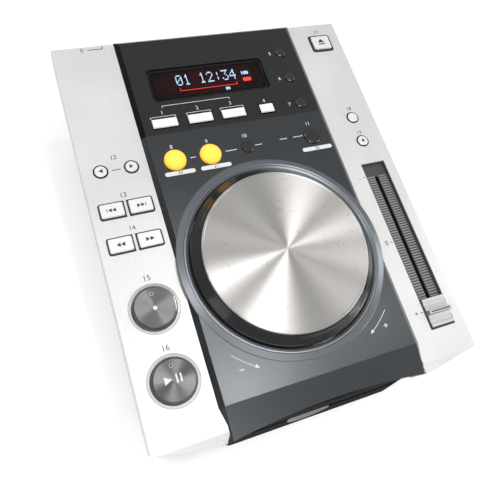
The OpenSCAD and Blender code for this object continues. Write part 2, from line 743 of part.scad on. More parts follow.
// Rectangular button, likewise
module slab_button(x, y, w, d, r, seat, top, travel) {
  deck() translate([x, y, 0]) {
    slab(w, d, r, seat - seat_gap - rim_t, top - 0.4);
    slab(w - 0.8, d - 0.8, max(r - 0.4, 0.3), top - 0.6, top);
    slab(w + 2*flange, d + 2*flange, r, seat - seat_gap - rim_t, seat - seat_gap);
    stem(seat, travel, stem_r);
  }
}
module wing_dot(x, y) {
  color([0.8, 0.81, 0.82]) round_button(x, y, dot_button_r, under_z, wing_top, small_travel);
}
module pair_button(i, y) {
  color([0.83, 0.84, 0.85])
    slab_button(pair_x + i*pair_pitch/2, y, pair_button_w, pair_button_d, 1, under_z, pair_top, small_travel);
}
module bar_button(x, w) {
  color([0.85, 0.85, 0.83]) slab_button(panel_x + x, bar_y, w, bar_button_d, 0.6, 0, panel_top, small_travel);
}
// Black round button on the centre panel
module black_button(x, y, r) {
  color([0.05, 0.05, 0.05]) round_button(panel_x + x, y, r, 0, panel_top, small_travel);
}
module lit_button(x) {
  color([0.95, 0.65, 0.1]) round_button(panel_x + x, loop_y, lit_button_r, 0, lit_top, small_travel);
}
module eject_button() {
  color([0.8, 0.81, 0.82])
    slab_button(eject_x, eject_y, eject_w, eject_d, 1.4, under_z, pair_top, small_travel);
}
module text_button() { black_button(aux_x, aux_ys[0], small_button_r); }
module time_button() { black_button(aux_x, aux_ys[1], small_button_r); }
module auto_button() { black_button(aux_x, aux_ys[2], small_button_r); }
module bar_button_1() { bar_button(bar_xs[0], bar_button_w); }
module bar_button_2() { bar_button(bar_xs[1], bar_button_w); }
module bar_button_3() { bar_button(bar_xs[2], bar_button_w); }
module bar_button_4() { bar_button(short_bar_x, short_bar_w); }
module loop_in_button() { lit_button(lit_xs[0]); }
module loop_out_button() { lit_button(lit_xs[1]); }
module reloop_button() { black_button(reloop_x, loop_y + loop_up, reloop_r); }
module loop_button() { black_button(loop_x, loop_y + loop_up, loop_r); }
module range_button() { wing_dot(tempo_x, tempo_ys[0]); }
module key_button() { wing_dot(tempo_x, tempo_ys[1]); }
module folder_back_button() { wing_dot(pair_x - folder_pitch/2, folder_y); }
module folder_next_button() { wing_dot(pair_x + folder_pitch/2, folder_y); }
module track_back_button() { pair_button(-1, track_y); }
module track_next_button() { pair_button(1, track_y); }
module search_back_button() { pair_button(-1, search_y); }
module search_next_button() { pair_button(1, search_y); }
module big_button(y) {
  color([0.06, 0.06, 0.06]) deck() translate([big_x, y, 0]) difference() {
    union() {
      rotate_extrude() polygon([
        [0, under_z - seat_gap - rim_t], [big_button_r + flange, under_z - seat_gap - rim_t],
        [big_button_r + flange, under_z - seat_gap], [big_button_r, under_z - seat_gap],
        [big_button_r, big_top - 1.4], [big_button_r - 0.9, big_top], [0, big_top]]);
      stem(under_z, big_travel, 2.5);
    }
    translate([0, 0, big_top - cap_t]) cylinder(r = big_cap_r + 0.02, h = 5);
  }
}
module big_cap(y) {
  color([0.35, 0.35, 0.36]) deck() translate([big_x, y, big_top - cap_t]) rotate_extrude() polygon([
    [0, 0], [big_cap_r, 0], [big_cap_r, cap_t + 0.1], [big_cap_r - 0.4, cap_t + 0.5], [0, cap_t + 0.3]]);
}
module cue_button() { big_button(cue_y); }
module play_button() { big_button(play_y); }
module cue_cap() { big_cap(cue_y); }
module play_cap() { big_cap(play_y); }

// ---- rear ----
module power_button() {
  color([0.1, 0.1, 0.1]) row() translate([power_x, wall_back_y + power_out, jack_z]) rotate([90, 0, 0]) {
    cylinder(r = power_r, h = power_out + tub_wall + 4);
    translate([0, 0, power_out + tub_wall + 0.2]) cylinder(r = power_r + 1, h = 1.5);
  }
}
module power_switch() {
  color([0.2, 0.2, 0.2]) row() difference() {
    box([power_x - switch_w/2, wall_in_y - switch_d, jack_z - switch_h/2],
        [power_x + switch_w/2, wall_in_y, jack_z + switch_h/2]);
    translate([power_x, wall_in_y + 1, jack_z]) rotate([90, 0, 0]) cylinder(r = power_r + 1.4, h = 10);
  }
}
module rca_jack(x) {
  translate([x, 0, 0]) difference() {
    union() {
      box([-jack_body_w/2, wall_in_y - 12, main_top_z], [jack_body_w/2, wall_in_y, jack_z + 6]);
      along_y(0, jack_z, jack_r + 0.3, wall_in_y - 1, wall_back_y);
      along_y(0, jack_z, jack_r, wall_back_y, wall_back_y + jack_reach);
    }
    along_y(0, jack_z, jack_pin_bore_r, wall_in_y - 3, wall_back_y + jack_reach + 1);
    translate([0, wall_back_y + 2, jack_z]) rotate([-90, 0, 0]) tube(jack_r - 0.6, 2.6, 20);
  }
}
module audio_jacks() { color([0.75, 0.65, 0.3]) row() for (x = jack_xs) rca_jack(x); }
module control_jack() {
  color([0.1, 0.1, 0.1]) row() translate([control_x, 0, 0]) difference() {
    union() {
      box([-control_body_w/2, wall_in_y - 14, main_top_z], [control_body_w/2, wall_in_y, jack_z + 6]);
      along_y(0, jack_z, 3, wall_in_y - 1, wall_back_y + 2);
    }
    along_y(0, jack_z, control_bore_r, wall_in_y - 12, wall_back_y + 10);
  }
}
module cord_gland() {
  color([0.06, 0.06, 0.06]) row() translate([gland_x, 0, jack_z]) rotate([-90, 0, 0]) difference() {
    union() {
      translate([0, 0, wall_in_y - 1.5]) cylinder(r = gland_bore_r + 4.2, h = 1.5);
      translate([0, 0, wall_in_y - 1.5]) cylinder(r = gland_bore_r + 3, h = tub_wall + 4);
      translate([0, 0, wall_back_y]) cylinder(r = gland_bore_r + 4.2, h = 2.5);
    }
    translate([0, 0, wall_in_y - 3]) cylinder(r = gland_bore_r, h = 12);
  }
}

// ---- boards ----
// Block on the main board, from the board's front left corner
module chip(x, y, w, d, h) {
  translate([main_x0 + x, main_y0 + y, main_top_z - eps]) cube([w, d, h]);
}
module main_board() {
  color([0.1, 0.35, 0.2]) row() {
    box([main_x0, main_y0, floor_z + post_h], [main_x1, main_y1, main_top_z]);
    chip(36, 16, 20, 20, 2);
    chip(70, 20, 14, 14, 2);
    chip(70, 2, 12, 14, 3);
    chip(8, 18, 18, 8, 6);
    for (x = [56, 65.5], y = [40, 50]) translate([main_x0 + x, main_y0 + y, main_top_z - eps])
      cylinder(r = 3.5, h = 9);
  }
}
module power_supply() {
  color([0.3, 0.25, 0.12]) row() {
    box([supply_x0, supply_y0, floor_z + post_h], [supply_x1, supply_y1, main_top_z]);
    // transformer: the iron core, and the windings that stand out of it
    translate([(supply_x0 + supply_x1)/2, supply_y0 + 21, main_top_z]) {
      box([-core_w/2, -core_d/2, -eps], [core_w/2, core_d/2, core_h]);
      box([-core_w/2 + 8, -core_d/2 - 2, 6], [core_w/2 - 8, core_d/2 + 2, core_h - 6]);
    }
    for (x = capacitor_xs) translate([x, supply_y0 + 53, main_top_z - eps]) cylinder(r = 7, h = 22);
  }
}
module panel_board() {
  color([0.1, 0.35, 0.2]) deck() {
    difference() {
      box([-board_half, deck_y0 + board_in, board_z - board_t], [board_half, panel_y1 - board_in, board_z]);
      translate([panel_x, jog_y, board_z - 5]) cylinder(r = encoder_hole_r, h = 10);
    }
    // light sensor that reaches under the slotted wheel
    translate([panel_x, jog_y, 0]) {
      box([encoder_hole_r + 0.2, -3, encoder_z - 3], [encoder_hole_r + 6, 3, board_z - board_t + eps]);
      box([encoder_r - 5, -3, encoder_z - 3], [encoder_hole_r + 1, 3, encoder_z - 1]);
    }
  }
}
module feet() {
  color([0.08, 0.08, 0.08]) row() for (x = [-foot_x, foot_x], y = foot_ys) translate([x, y, 0])
    rotate_extrude() polygon([[0, 0], [foot_r - 1, 0], [foot_r, 1], [foot_r, foot_h], [0, foot_h]]);
}
module case_screws() {
  color([0.2, 0.2, 0.2]) row() for (p = pillars) translate([p[0], p[1], screw_head_z]) {
    difference() {
      cylinder(r = screw_head_r, h = screw_head_h);
      for (a = [0, 90]) rotate([0, 0, a]) translate([-1.6, -0.3, -1]) cube([3.2, 0.6, 2]);
    }
    translate([0, 0, screw_head_h]) cylinder(r = screw_r, h = screw_l);
  }
}

// ---- disc loader ----
module loader_chassis() {
  color([0.62, 0.63, 0.65]) row() translate([panel_x, 0, 0]) difference() {
    union() {
      for (x = [-loader_half, loader_half - sheet]) translate([x, loader_y0, floor_z])
        cube([sheet, loader_y1 - loader_y0, bay_z1 - floor_z + sheet]);
      box([-loader_half, loader_y0, tray_z], [loader_half, loader_y1, tray_z + sheet]);
      box([-loader_half, loader_y0, bay_z1], [loader_half, loader_y1, bay_z1 + sheet]);
      // end blocks of the guide rod and the lead screw
      for (x = [-rail_x, rail_x], y = [rail_y0, rail_y1]) translate([x - 4, y, tray_z])
        cube([8, rail_end, rail_z + 3 - tray_z]);
    }
    translate([-loader_half - 1, roller_y, roller_z]) rotate([0, 90, 0])
      cylinder(r = rail_r + run_fit, h = 2*loader_half + 2);
    translate([0, turntable_y, bay_z1 - 1]) cylinder(r = puck_hole_r, h = 5);
    for (x = [-rail_x, rail_x]) along_y(x, rail_z, rail_r + run_fit, rail_y0 - 1, rail_y1 + 4);
  }
}
module loading_roller() {
  color([0.12, 0.12, 0.12]) row() translate([panel_x, roller_y, roller_z]) rotate([0, 90, 0])
    rotate_extrude() polygon([
      [0, -loader_half - 1], [rail_r, -loader_half - 1], [rail_r, -roller_half], [roller_r, -roller_half],
      [roller_r - roller_waist, 0], [roller_r, roller_half], [rail_r, roller_half],
      [rail_r, loader_half + 1], [0, loader_half + 1]]);
}
module turntable() {
  color([0.1, 0.1, 0.1]) row() translate([panel_x, turntable_y, 0]) rotate_extrude() polygon([
    [0, tray_z + sheet + 2.3], [rail_r, tray_z + sheet + 2.3],
    [rail_r, motor_top + 0.3], [14, motor_top + 0.3],
    [14, motor_top + 1.9], [7.4, motor_top + 1.9], [6.6, slot_low - 0.2], [0, slot_low - 0.2]]);
}
module clamp_puck() {
  color([0.15, 0.15, 0.16]) row() translate([panel_x, turntable_y, 0]) rotate_extrude() polygon([
    [0, bay_z1 + 0.1], [puck_hole_r - puck_gap, bay_z1 + 0.1], [puck_hole_r - puck_gap, bay_z1 + sheet + 0.1],
    [puck_hole_r + 3, bay_z1 + sheet + 0.1], [puck_hole_r + 3, bay_z1 + sheet + 1.7],
    [8, bay_z1 + sheet + 2.6],
    [0, bay_z1 + sheet + 2.6]]);
}
module pickup_sled() {
  color([0.35, 0.35, 0.37]) row() translate([panel_x, sled_y, 0]) difference() {
    union() {
      box([-rail_x - 4, -sled_half, rail_z - 2.8], [rail_x + 4, sled_half, rail_z + 3]);
      translate([0, 0, rail_z]) cylinder(r = 5, h = 5);
      translate([0, 0, rail_z]) cylinder(r = 2.5, h = 6.2);
    }
    for (x = [-rail_x, rail_x]) along_y(x, rail_z, rail_r + run_fit, -20, 20);
  }
}
module guide_rod() {
  color([0.75, 0.75, 0.77]) row() along_y(panel_x + rail_x, rail_z, rail_r, rail_y0, rail_y1 + rail_end);
}
module sled_screw() {
  color([0.7, 0.7, 0.72]) row() along_y(panel_x - rail_x, rail_z, rail_r, rail_y0, rail_y1 + rail_end + 0.2);
}
module drive_motors() {
  color([0.6, 0.6, 0.62]) row() translate([panel_x, 0, 0]) {
    translate([0, turntable_y, tray_z + sheet]) difference() {
      cylinder(r = motor_r, h = motor_top - tray_z - sheet);
      translate([0, 0, 2]) cylinder(r = rail_r + run_fit, h = 20);
    }
    translate([-56, roller_y + 14, tray_z + sheet + 5.9]) rotate([0, 90, 0]) cylinder(r = 5.9, h = 26);
    along_y(-rail_x, rail_z, rail_z - tray_z - sheet, rail_y1 + rail_end + 0.5, rail_y1 + 20);
  }
}

// ---- the part ----
lower_case();
slot_nose();
finger_dish();
upper_case();
display_panel();
control_panel();
display_window();
display_module();
jog_ring();
jog_skirt();
jog_cap();
jog_shaft();
jog_bearing();
encoder_disc();
fader_plate();
fader_unit();
fader_lever();
fader_knob();
eject_button();
text_button();
time_button();
auto_button();
bar_button_1();
bar_button_2();
bar_button_3();
bar_button_4();
loop_in_button();
loop_out_button();
reloop_button();
loop_button();
range_button();
key_button();
folder_back_button();
folder_next_button();
track_back_button();
track_next_button();
search_back_button();
search_next_button();
cue_button();
play_button();
cue_cap();
play_cap();
power_button();
power_switch();
audio_jacks();
control_jack();
cord_gland();
main_board();
panel_board();
power_supply();
feet();
case_screws();
loader_chassis();
loading_roller();
turntable();
clamp_puck();
pickup_sled();
guide_rod();
sled_screw();
drive_motors();
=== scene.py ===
"""Looks of a tabletop disc player: finishes, printed marks, symbols and the lit display."""
import json
import math
import random
from functools import partial

import bpy
from mathutils import Euler, Matrix, Vector


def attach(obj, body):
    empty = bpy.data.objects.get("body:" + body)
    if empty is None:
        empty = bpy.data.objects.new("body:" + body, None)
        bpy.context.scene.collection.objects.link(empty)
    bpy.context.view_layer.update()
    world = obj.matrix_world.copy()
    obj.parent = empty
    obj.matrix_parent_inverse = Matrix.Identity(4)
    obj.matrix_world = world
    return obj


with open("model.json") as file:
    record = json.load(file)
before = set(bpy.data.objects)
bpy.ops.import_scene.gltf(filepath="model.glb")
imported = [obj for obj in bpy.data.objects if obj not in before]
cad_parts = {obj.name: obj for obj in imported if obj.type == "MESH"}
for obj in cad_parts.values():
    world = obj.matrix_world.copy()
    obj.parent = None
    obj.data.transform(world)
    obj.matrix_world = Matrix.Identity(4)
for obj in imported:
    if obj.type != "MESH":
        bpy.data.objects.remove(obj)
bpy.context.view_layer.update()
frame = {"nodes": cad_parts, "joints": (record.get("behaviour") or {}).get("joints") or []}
MM = 0.001

# ---- the deck: x right, y up the slope, z out of the silver top, in millimetres ----
JOG_X, JOG_Y = 1.2, -43.8
PANEL_TOP = 3.0
jog_joint = next(joint for joint in frame["joints"] if joint["name"] == "jog_spin")
deck_up = Vector(jog_joint["axis"]).normalized()
deck_back = Vector((0, deck_up.z, -deck_up.y))
TILT = math.atan2(deck_back.z, deck_back.y)
jog_centre = Vector(jog_joint["pos_m"])
deck_origin = jog_centre - Vector((1, 0, 0)) * JOG_X * MM - deck_back * JOG_Y * MM
DECK = Matrix.Translation(deck_origin) @ Matrix.Rotation(TILT, 4, "X") @ Matrix.Scale(MM, 4)


def deck_box(node):
    """Low and high corners of a node in the deck's own millimetres."""
    inverse = DECK.inverted()
    points = [inverse @ vertex.co for vertex in frame["nodes"][node].data.vertices]
    low = Vector([min(p[i] for p in points) for i in range(3)])
    high = Vector([max(p[i] for p in points) for i in range(3)])
    return low, high


def disc_centre(node):
    """Middle of a node's top face, in metres."""
    low, high = deck_box(node)
    return tuple(DECK @ Vector(((low.x + high.x) / 2, (low.y + high.y) / 2, high.z)))


# ---- camera, lights and stage ----
CAMERA_AT = (-117.0, -126.9, 295.8)
CAMERA_TURN = (21.212, -12.322, -18.265)
LENS = 36.67
SENSOR = 36
WORLD_LIGHT = 0.42
SHINY_WHITE = 0.3
FLOOR_TONE = 0.86
FLOOR_ROUGH = 0.9
FLOOR_HALF = 3.0
FLOOR_DROP = 0.0001
FLOOR_NEAR, FLOOR_FAR = 0.5, 1.1
FLOOR_GLOW_NEAR, FLOOR_GLOW_FAR = 0.3, 1.0
WHITE = (1, 1, 1, 1)

# lights over the dial: name, place from its middle in deck mm, width in m, watts
DIAL_FACE = 12
STREAK_LIGHTS = (
    ("streak_light_1", (92, 216, 972), 0.06, 0.85),
    ("streak_light_2", (279, 2, 960), 0.07, 0.35),
    ("streak_light_3", (511, 37, 860), 0.16, 0.3),
)
# lights placed from the dial in deck mm: name, place, point lit, width in m, watts
DECK_LIGHTS = (
    ("panel_light", (135, -55, 972), (-55, -120, 3), 0.14, 1.5),
    ("ring_light", (-436, 120, 899), (JOG_X, JOG_Y, DIAL_FACE), 0.16, 0.9),
)
# lights of the room in m: name, place, point lit, width and height, watts
ROOM_LIGHTS = (
    ("front_light", (-0.3, -0.95, 0.95), (0, -0.1, 0.05), (0.9, 0.5), 8.2),
    ("corner_light", (1.1, -0.65, 0.16), (0, -0.05, 0.08), (0.45, 0.2), 3),
    ("back_light", (-0.75, 0.75, 0.85), (0, 0, 0.08), (0.7, 0.7), 3),
    ("right_light", (1.1, -0.1, 0.55), (0, 0, 0.08), (0.25, 0.9), 2.5),
    ("left_light", (-1.1, -0.5, 0.7), (0, 0, 0.08), (0.5, 0.9), 1.2),
)


def set_camera():
    data = bpy.data.cameras.new("camera")
    data.lens = LENS
    data.sensor_width = SENSOR
    camera = bpy.data.objects.new("camera", data)
    bpy.context.scene.collection.objects.link(camera)
    turn = Euler([math.radians(a) for a in CAMERA_TURN], "XYZ").to_matrix().to_4x4()
    place = DECK @ Matrix.Translation(CAMERA_AT) @ turn
    camera.matrix_world = Matrix.LocRotScale(place.to_translation(), place.to_quaternion(), None)
    bpy.context.scene.camera = camera


def area_light(name, at, aim, size, watts):
    data = bpy.data.lights.new(name, "AREA")
    data.shape = "RECTANGLE"
    data.size, data.size_y = size
    data.energy = watts
    lamp = bpy.data.objects.new(name, data)
    bpy.context.scene.collection.objects.link(lamp)
    lamp.location = at
    lamp.rotation_euler = (Vector(aim) - Vector(at)).to_track_quat("-Z", "Y").to_euler()


def set_lights():
    dial = DECK @ Vector((JOG_X, JOG_Y, DIAL_FACE))
    for name, (x, y, z), size, watts in STREAK_LIGHTS:
        area_light(name, DECK @ Vector((JOG_X + x, JOG_Y + y, DIAL_FACE + z)), dial, (size, size), watts)
    for name, (x, y, z), aim, size, watts in DECK_LIGHTS:
        area_light(name, DECK @ Vector((JOG_X + x, JOG_Y + y, z)), DECK @ Vector(aim), (size, size), watts)
    for light in ROOM_LIGHTS:
        area_light(*light)


def set_world():
    """Soft grey light all round. The camera and clear pieces see plain white, gloss sees part of it."""
    world = bpy.data.worlds.new("studio")
    bpy.context.scene.world = world
    world.use_nodes = True
    tree = world.node_tree
    tree.nodes.clear()
    path = tree.nodes.new("ShaderNodeLightPath").outputs
    soft = tree.nodes.new("ShaderNodeBackground")
    soft.inputs["Strength"].default_value = WORLD_LIGHT
    white = tree.nodes.new("ShaderNodeBackground")
    white.inputs["Color"].default_value = WHITE
    mix = tree.nodes.new("ShaderNodeMixShader")
    seen = math_node(tree, "MAXIMUM", path["Is Camera Ray"], path["Is Transmission Ray"])
    shiny = math_node(tree, "MULTIPLY", path["Is Glossy Ray"], SHINY_WHITE)
    tree.links.new(math_node(tree, "ADD", seen, shiny), mix.inputs[0])
    tree.links.new(soft.outputs[0], mix.inputs[1])
    tree.links.new(white.outputs[0], mix.inputs[2])
    out = tree.nodes.new("ShaderNodeOutputWorld")
    tree.links.new(mix.outputs[0], out.inputs["Surface"])


def set_floor():
    """A pale floor that turns plain white away from the player and isn't seen from below."""
    mesh = bpy.data.meshes.new("floor")
    corners = [(x * FLOOR_HALF, y * FLOOR_HALF, -FLOOR_DROP) for x, y in ((-1, -1), (1, -1), (1, 1), (-1, 1))]
    mesh.from_pydata(corners, [], [(0, 1, 2, 3)])
    floor = bpy.data.objects.new("floor", mesh)
    bpy.context.scene.collection.objects.link(floor)
    material, tree, shader = new_material("pale_floor")
    shader.inputs["Base Color"].default_value = (FLOOR_TONE, FLOOR_TONE, FLOOR_TONE, 1)
    shader.inputs["Roughness"].default_value = FLOOR_ROUGH
    shader.inputs["Emission Color"].default_value = WHITE
    fade = tree.nodes.new("ShaderNodeMapRange")
    fade.interpolation_type = "SMOOTHSTEP"
    for socket, value in (("From Min", FLOOR_NEAR), ("From Max", FLOOR_FAR),
                          ("To Min", FLOOR_GLOW_NEAR), ("To Max", FLOOR_GLOW_FAR)):
        fade.inputs[socket].default_value = value
    away = vector_node(tree, "LENGTH", object_coordinates(tree))["Value"]
    tree.links.new(away, fade.inputs["Value"])
    path = tree.nodes.new("ShaderNodeLightPath").outputs
    glow = math_node(tree, "MULTIPLY", path["Is Camera Ray"], fade.outputs["Result"])
    tree.links.new(glow, shader.inputs["Emission Strength"])
    side = tree.nodes.new("ShaderNodeNewGeometry")
    clear = tree.nodes.new("ShaderNodeBsdfTransparent")
    mix = tree.nodes.new("ShaderNodeMixShader")
    tree.links.new(side.outputs["Backfacing"], mix.inputs[0])
    tree.links.new(shader.outputs[0], mix.inputs[1])
    tree.links.new(clear.outputs[0], mix.inputs[2])
    tree.links.new(mix.outputs[0], tree.nodes["Material Output"].inputs["Surface"])
    mesh.materials.append(material)


# ---- short ways to add nodes ----
COLOR, FLOAT, VECTOR = "NodeSocketColor", "NodeSocketFloat", "NodeSocketVector"
ORIGIN = (0, 0, 0)


def feed(tree, socket, value):
    """Links an output to a socket, or sets a plain value on it."""
    if isinstance(value, bpy.types.NodeSocket):
        tree.links.new(value, socket)
    else:
        socket.default_value = value


def math_node(tree, operation, a, b=None, clamp=False):
    node = tree.nodes.new("ShaderNodeMath")
    node.operation = operation
    node.use_clamp = clamp
    feed(tree, node.inputs[0], a)
    if b is not None:
        feed(tree, node.inputs[1], b)
    return node.outputs[0]


def vector_node(tree, operation, a, b=None):
    node = tree.nodes.new("ShaderNodeVectorMath")
    node.operation = operation
    feed(tree, node.inputs[0], a)
    if b is not None:
        feed(tree, node.inputs[1], b)
    return node.outputs


def split_node(tree, vector):
    node = tree.nodes.new("ShaderNodeSeparateXYZ")
    tree.links.new(vector, node.inputs[0])
    return node.outputs


def join_node(tree, *parts):
    node = tree.nodes.new("ShaderNodeCombineXYZ")
    for socket, part in zip(node.inputs, parts):
        tree.links.new(part, socket)
    return node.outputs[0]


def noise_node(tree, vector, scale, detail, rough=0.5):
    node = tree.nodes.new("ShaderNodeTexNoise")
    tree.links.new(vector, node.inputs["Vector"])
    feed(tree, node.inputs["Scale"], scale)
    node.inputs["Detail"].default_value = detail
    node.inputs["Roughness"].default_value = rough
    return node.outputs["Fac"]


def mix_colour(tree, factor, a, b):
    node = tree.nodes.new("ShaderNodeMix")
    node.data_type = "RGBA"
    for index, value in ((0, factor), (6, a), (7, b)):
        feed(tree, node.inputs[index], value)
    return node.outputs[2]


def shade_value(tree, colour, value):
    node = tree.nodes.new("ShaderNodeHueSaturation")
    tree.links.new(colour, node.inputs["Color"])
    tree.links.new(value, node.inputs["Value"])
    return node.outputs[0]


def bump_node(tree, height, strength, distance):
    node = tree.nodes.new("ShaderNodeBump")
    node.inputs["Distance"].default_value = distance
    tree.links.new(height, node.inputs["Height"])
    tree.links.new(strength, node.inputs["Strength"])
    return node.outputs["Normal"]


def object_coordinates(tree):
    return tree.nodes.new("ShaderNodeTexCoord").outputs["Object"]


def deck_vector(tree, centre):
    """Object coordinates from a centre, turned into the deck's own directions, in metres."""
    mapping = tree.nodes.new("ShaderNodeMapping")
    mapping.vector_type = "TEXTURE"
    mapping.inputs["Location"].default_value = centre
    mapping.inputs["Rotation"].default_value = (TILT, 0, 0)
    tree.links.new(object_coordinates(tree), mapping.inputs["Vector"])
    return mapping.outputs[0]


def new_material(name):
    material = bpy.data.materials.new(name)
    material.use_nodes = True
    return material, material.node_tree, shader_of(material)


def shader_of(material):
    return material.node_tree.nodes["Principled BSDF"]


def new_group(name, inputs, outputs):
    """An empty shader group, with the outputs of its inputs and the inputs of its outputs."""
    tree = bpy.data.node_groups.new(name, "ShaderNodeTree")
    for socket, kind, value in inputs:
        made = tree.interface.new_socket(socket, in_out="INPUT", socket_type=kind)
        made.default_value = value
    for socket, kind in outputs:
        tree.interface.new_socket(socket, in_out="OUTPUT", socket_type=kind)
    return tree, tree.nodes.new("NodeGroupInput").outputs, tree.nodes.new("NodeGroupOutput").inputs


def place_group(tree, group, values):
    node = tree.nodes.new("ShaderNodeGroup")
    node.node_tree = group
    for name, value in values.items():
        feed(tree, node.inputs[name], value)
    return node.outputs


# ---- effects shared by the finishes ----
SLOW_SCALE, RUB_SCALE, STAIN_SCALE, SPECK_SCALE = 14.0, 90.0, 55.0, 400.0
RUB_FROM, RUB_GAIN, RUB_ROUGH = 0.56, 4.0, 0.2
GRAIN_TONE, GRAIN_HEIGHT = 0.8, 0.0002
STAIN_FROM, STAIN_GAIN, STAIN_SHARE = 0.6, 7.0, 0.22
LINE_SCALE, LINE_BEND, LINE_FROM, LINE_GAIN = 9.0, 14.0, 0.985, 40.0
RING_TONE, RING_ROUGH, RING_HEIGHT = 0.12, 0.05, 0.00008
SPECK_SHARE, LENS_POWER = 0.12, 4.0


def make_skin_group():
    """Moulded or painted skin: fine grain, slow change of tone, and light dust and rub marks."""
    tree, into, out = new_group(
        "moulded_skin",
        [("Vector", VECTOR, ORIGIN), ("Base", COLOR, (0.5, 0.5, 0.5, 1)), ("Mark", COLOR, (0.6, 0.6, 0.6, 1)),
         ("Grain Scale", FLOAT, 1500.0), ("Grain Depth", FLOAT, 0.2), ("Tone", FLOAT, 0.06),
         ("Marks", FLOAT, 0.2), ("Roughness", FLOAT, 0.4), ("Roughness Spread", FLOAT, 0.1)],
        [("Color", COLOR), ("Roughness", FLOAT), ("Normal", VECTOR)])
    sums = partial(math_node, tree)
    slow = noise_node(tree, into["Vector"], SLOW_SCALE, 3.0)
    fine = noise_node(tree, into["Vector"], into["Grain Scale"], 3.0)
    rub = noise_node(tree, into["Vector"], RUB_SCALE, 8.0, 0.72)
    rub = sums("MULTIPLY", sums("SUBTRACT", rub, RUB_FROM, True), RUB_GAIN, True)
    rub = sums("MULTIPLY", rub, into["Marks"], True)
    slow = sums("SUBTRACT", slow, 0.5)
    tone = sums("MULTIPLY", slow, into["Tone"])
    grain_tone = sums("MULTIPLY", sums("SUBTRACT", fine, 0.5), sums("MULTIPLY", into["Tone"], GRAIN_TONE))
    value = sums("ADD", sums("ADD", tone, grain_tone), 1.0)
    skin = shade_value(tree, into["Base"], value)
    tree.links.new(mix_colour(tree, rub, skin, into["Mark"]), out["Color"])
    rough = sums("ADD", into["Roughness"], sums("MULTIPLY", slow, into["Roughness Spread"]))
    tree.links.new(sums("ADD", rough, sums("MULTIPLY", rub, RUB_ROUGH), True), out["Roughness"])
    tree.links.new(bump_node(tree, fine, into["Grain Depth"], GRAIN_HEIGHT), out["Normal"])
    return tree


def make_turned_group():
    """Turned metal: fine rings round the disc's own axis, faint stains and short scratches."""
    tree, into, out = new_group(
        "turned_metal",
        [("Vector", VECTOR, ORIGIN), ("Base", COLOR, (0.7, 0.7, 0.7, 1)), ("Stain", COLOR, (0.3, 0.3, 0.3, 1)),
         ("Rings", FLOAT, 5000.0), ("Depth", FLOAT, 0.2), ("Stains", FLOAT, 0.2), ("Roughness", FLOAT, 0.3)],
        [("Color", COLOR), ("Roughness", FLOAT), ("Normal", VECTOR)])
    sums = partial(math_node, tree)
    x, y, _ = split_node(tree, into["Vector"])
    radius = vector_node(tree, "LENGTH", join_node(tree, x, y))["Value"]
    rings = noise_node(tree, join_node(tree, sums("MULTIPLY", radius, into["Rings"])), 1.0, 3.0, 0.7)
    stain = noise_node(tree, into["Vector"], STAIN_SCALE, 6.0, 0.65)
    stain = sums("MULTIPLY", sums("SUBTRACT", stain, STAIN_FROM, True), STAIN_GAIN, True)
    wave = tree.nodes.new("ShaderNodeTexWave")
    for socket, value in (("Scale", LINE_SCALE), ("Distortion", LINE_BEND), ("Detail", 3.0)):
        wave.inputs[socket].default_value = value
    tree.links.new(into["Vector"], wave.inputs["Vector"])
    scratch = sums("MULTIPLY", sums("SUBTRACT", wave.outputs["Fac"], LINE_FROM, True), LINE_GAIN, True)
    scratch = sums("MULTIPLY", scratch, stain, True)
    marks = sums("MAXIMUM", sums("MULTIPLY", stain, STAIN_SHARE), scratch)
    marks = sums("MULTIPLY", marks, into["Stains"], True)
    value = sums("ADD", sums("MULTIPLY", sums("SUBTRACT", rings, 0.5), RING_TONE), 1.0)
    metal = shade_value(tree, into["Base"], value)
    tree.links.new(mix_colour(tree, marks, metal, into["Stain"]), out["Color"])
    rough = sums("ADD", into["Roughness"], sums("MULTIPLY", rings, RING_ROUGH), True)
    tree.links.new(rough, out["Roughness"])
    tree.links.new(bump_node(tree, rings, into["Depth"], RING_HEIGHT), out["Normal"])
    return tree


def make_lens_group():
    """A lit lens: a pale hot middle that turns to amber toward the rim."""
    tree, into, out = new_group(
        "lit_lens",
        [("Vector", VECTOR, ORIGIN), ("Centre", VECTOR, ORIGIN), ("Radius", FLOAT, 0.01),
         ("Middle", COLOR, (1.0, 0.76, 0.12, 1)), ("Rim", COLOR, (1.0, 0.36, 0.0, 1))],
        [("Color", COLOR)])
    sums = partial(math_node, tree)
    away = vector_node(tree, "DISTANCE", into["Vector"], into["Centre"])["Value"]
    part = sums("DIVIDE", away, into["Radius"], True)
    speck = sums("MULTIPLY", noise_node(tree, into["Vector"], SPECK_SCALE, 2.0), SPECK_SHARE)
    factor = sums("ADD", sums("POWER", part, LENS_POWER), speck, True)
    tree.links.new(mix_colour(tree, factor, into["Middle"], into["Rim"]), out["Color"])
    return tree


# the painted top's wells in deck mm: half width, front and rear edge, and the depth where the painted shade on
# the well walls starts
WELL_HALF_W, WELL_FRONT, WELL_REAR, WELL_DEPTH = 105.5, -119.5, 125.0, 0.3
WEB_X, WEB_HALF, WEB_DEPTH, WEB_FRONT = -86.7, 0.8, 0.9, -22.0
ROUND_WELL_LIGHTER = 0.8


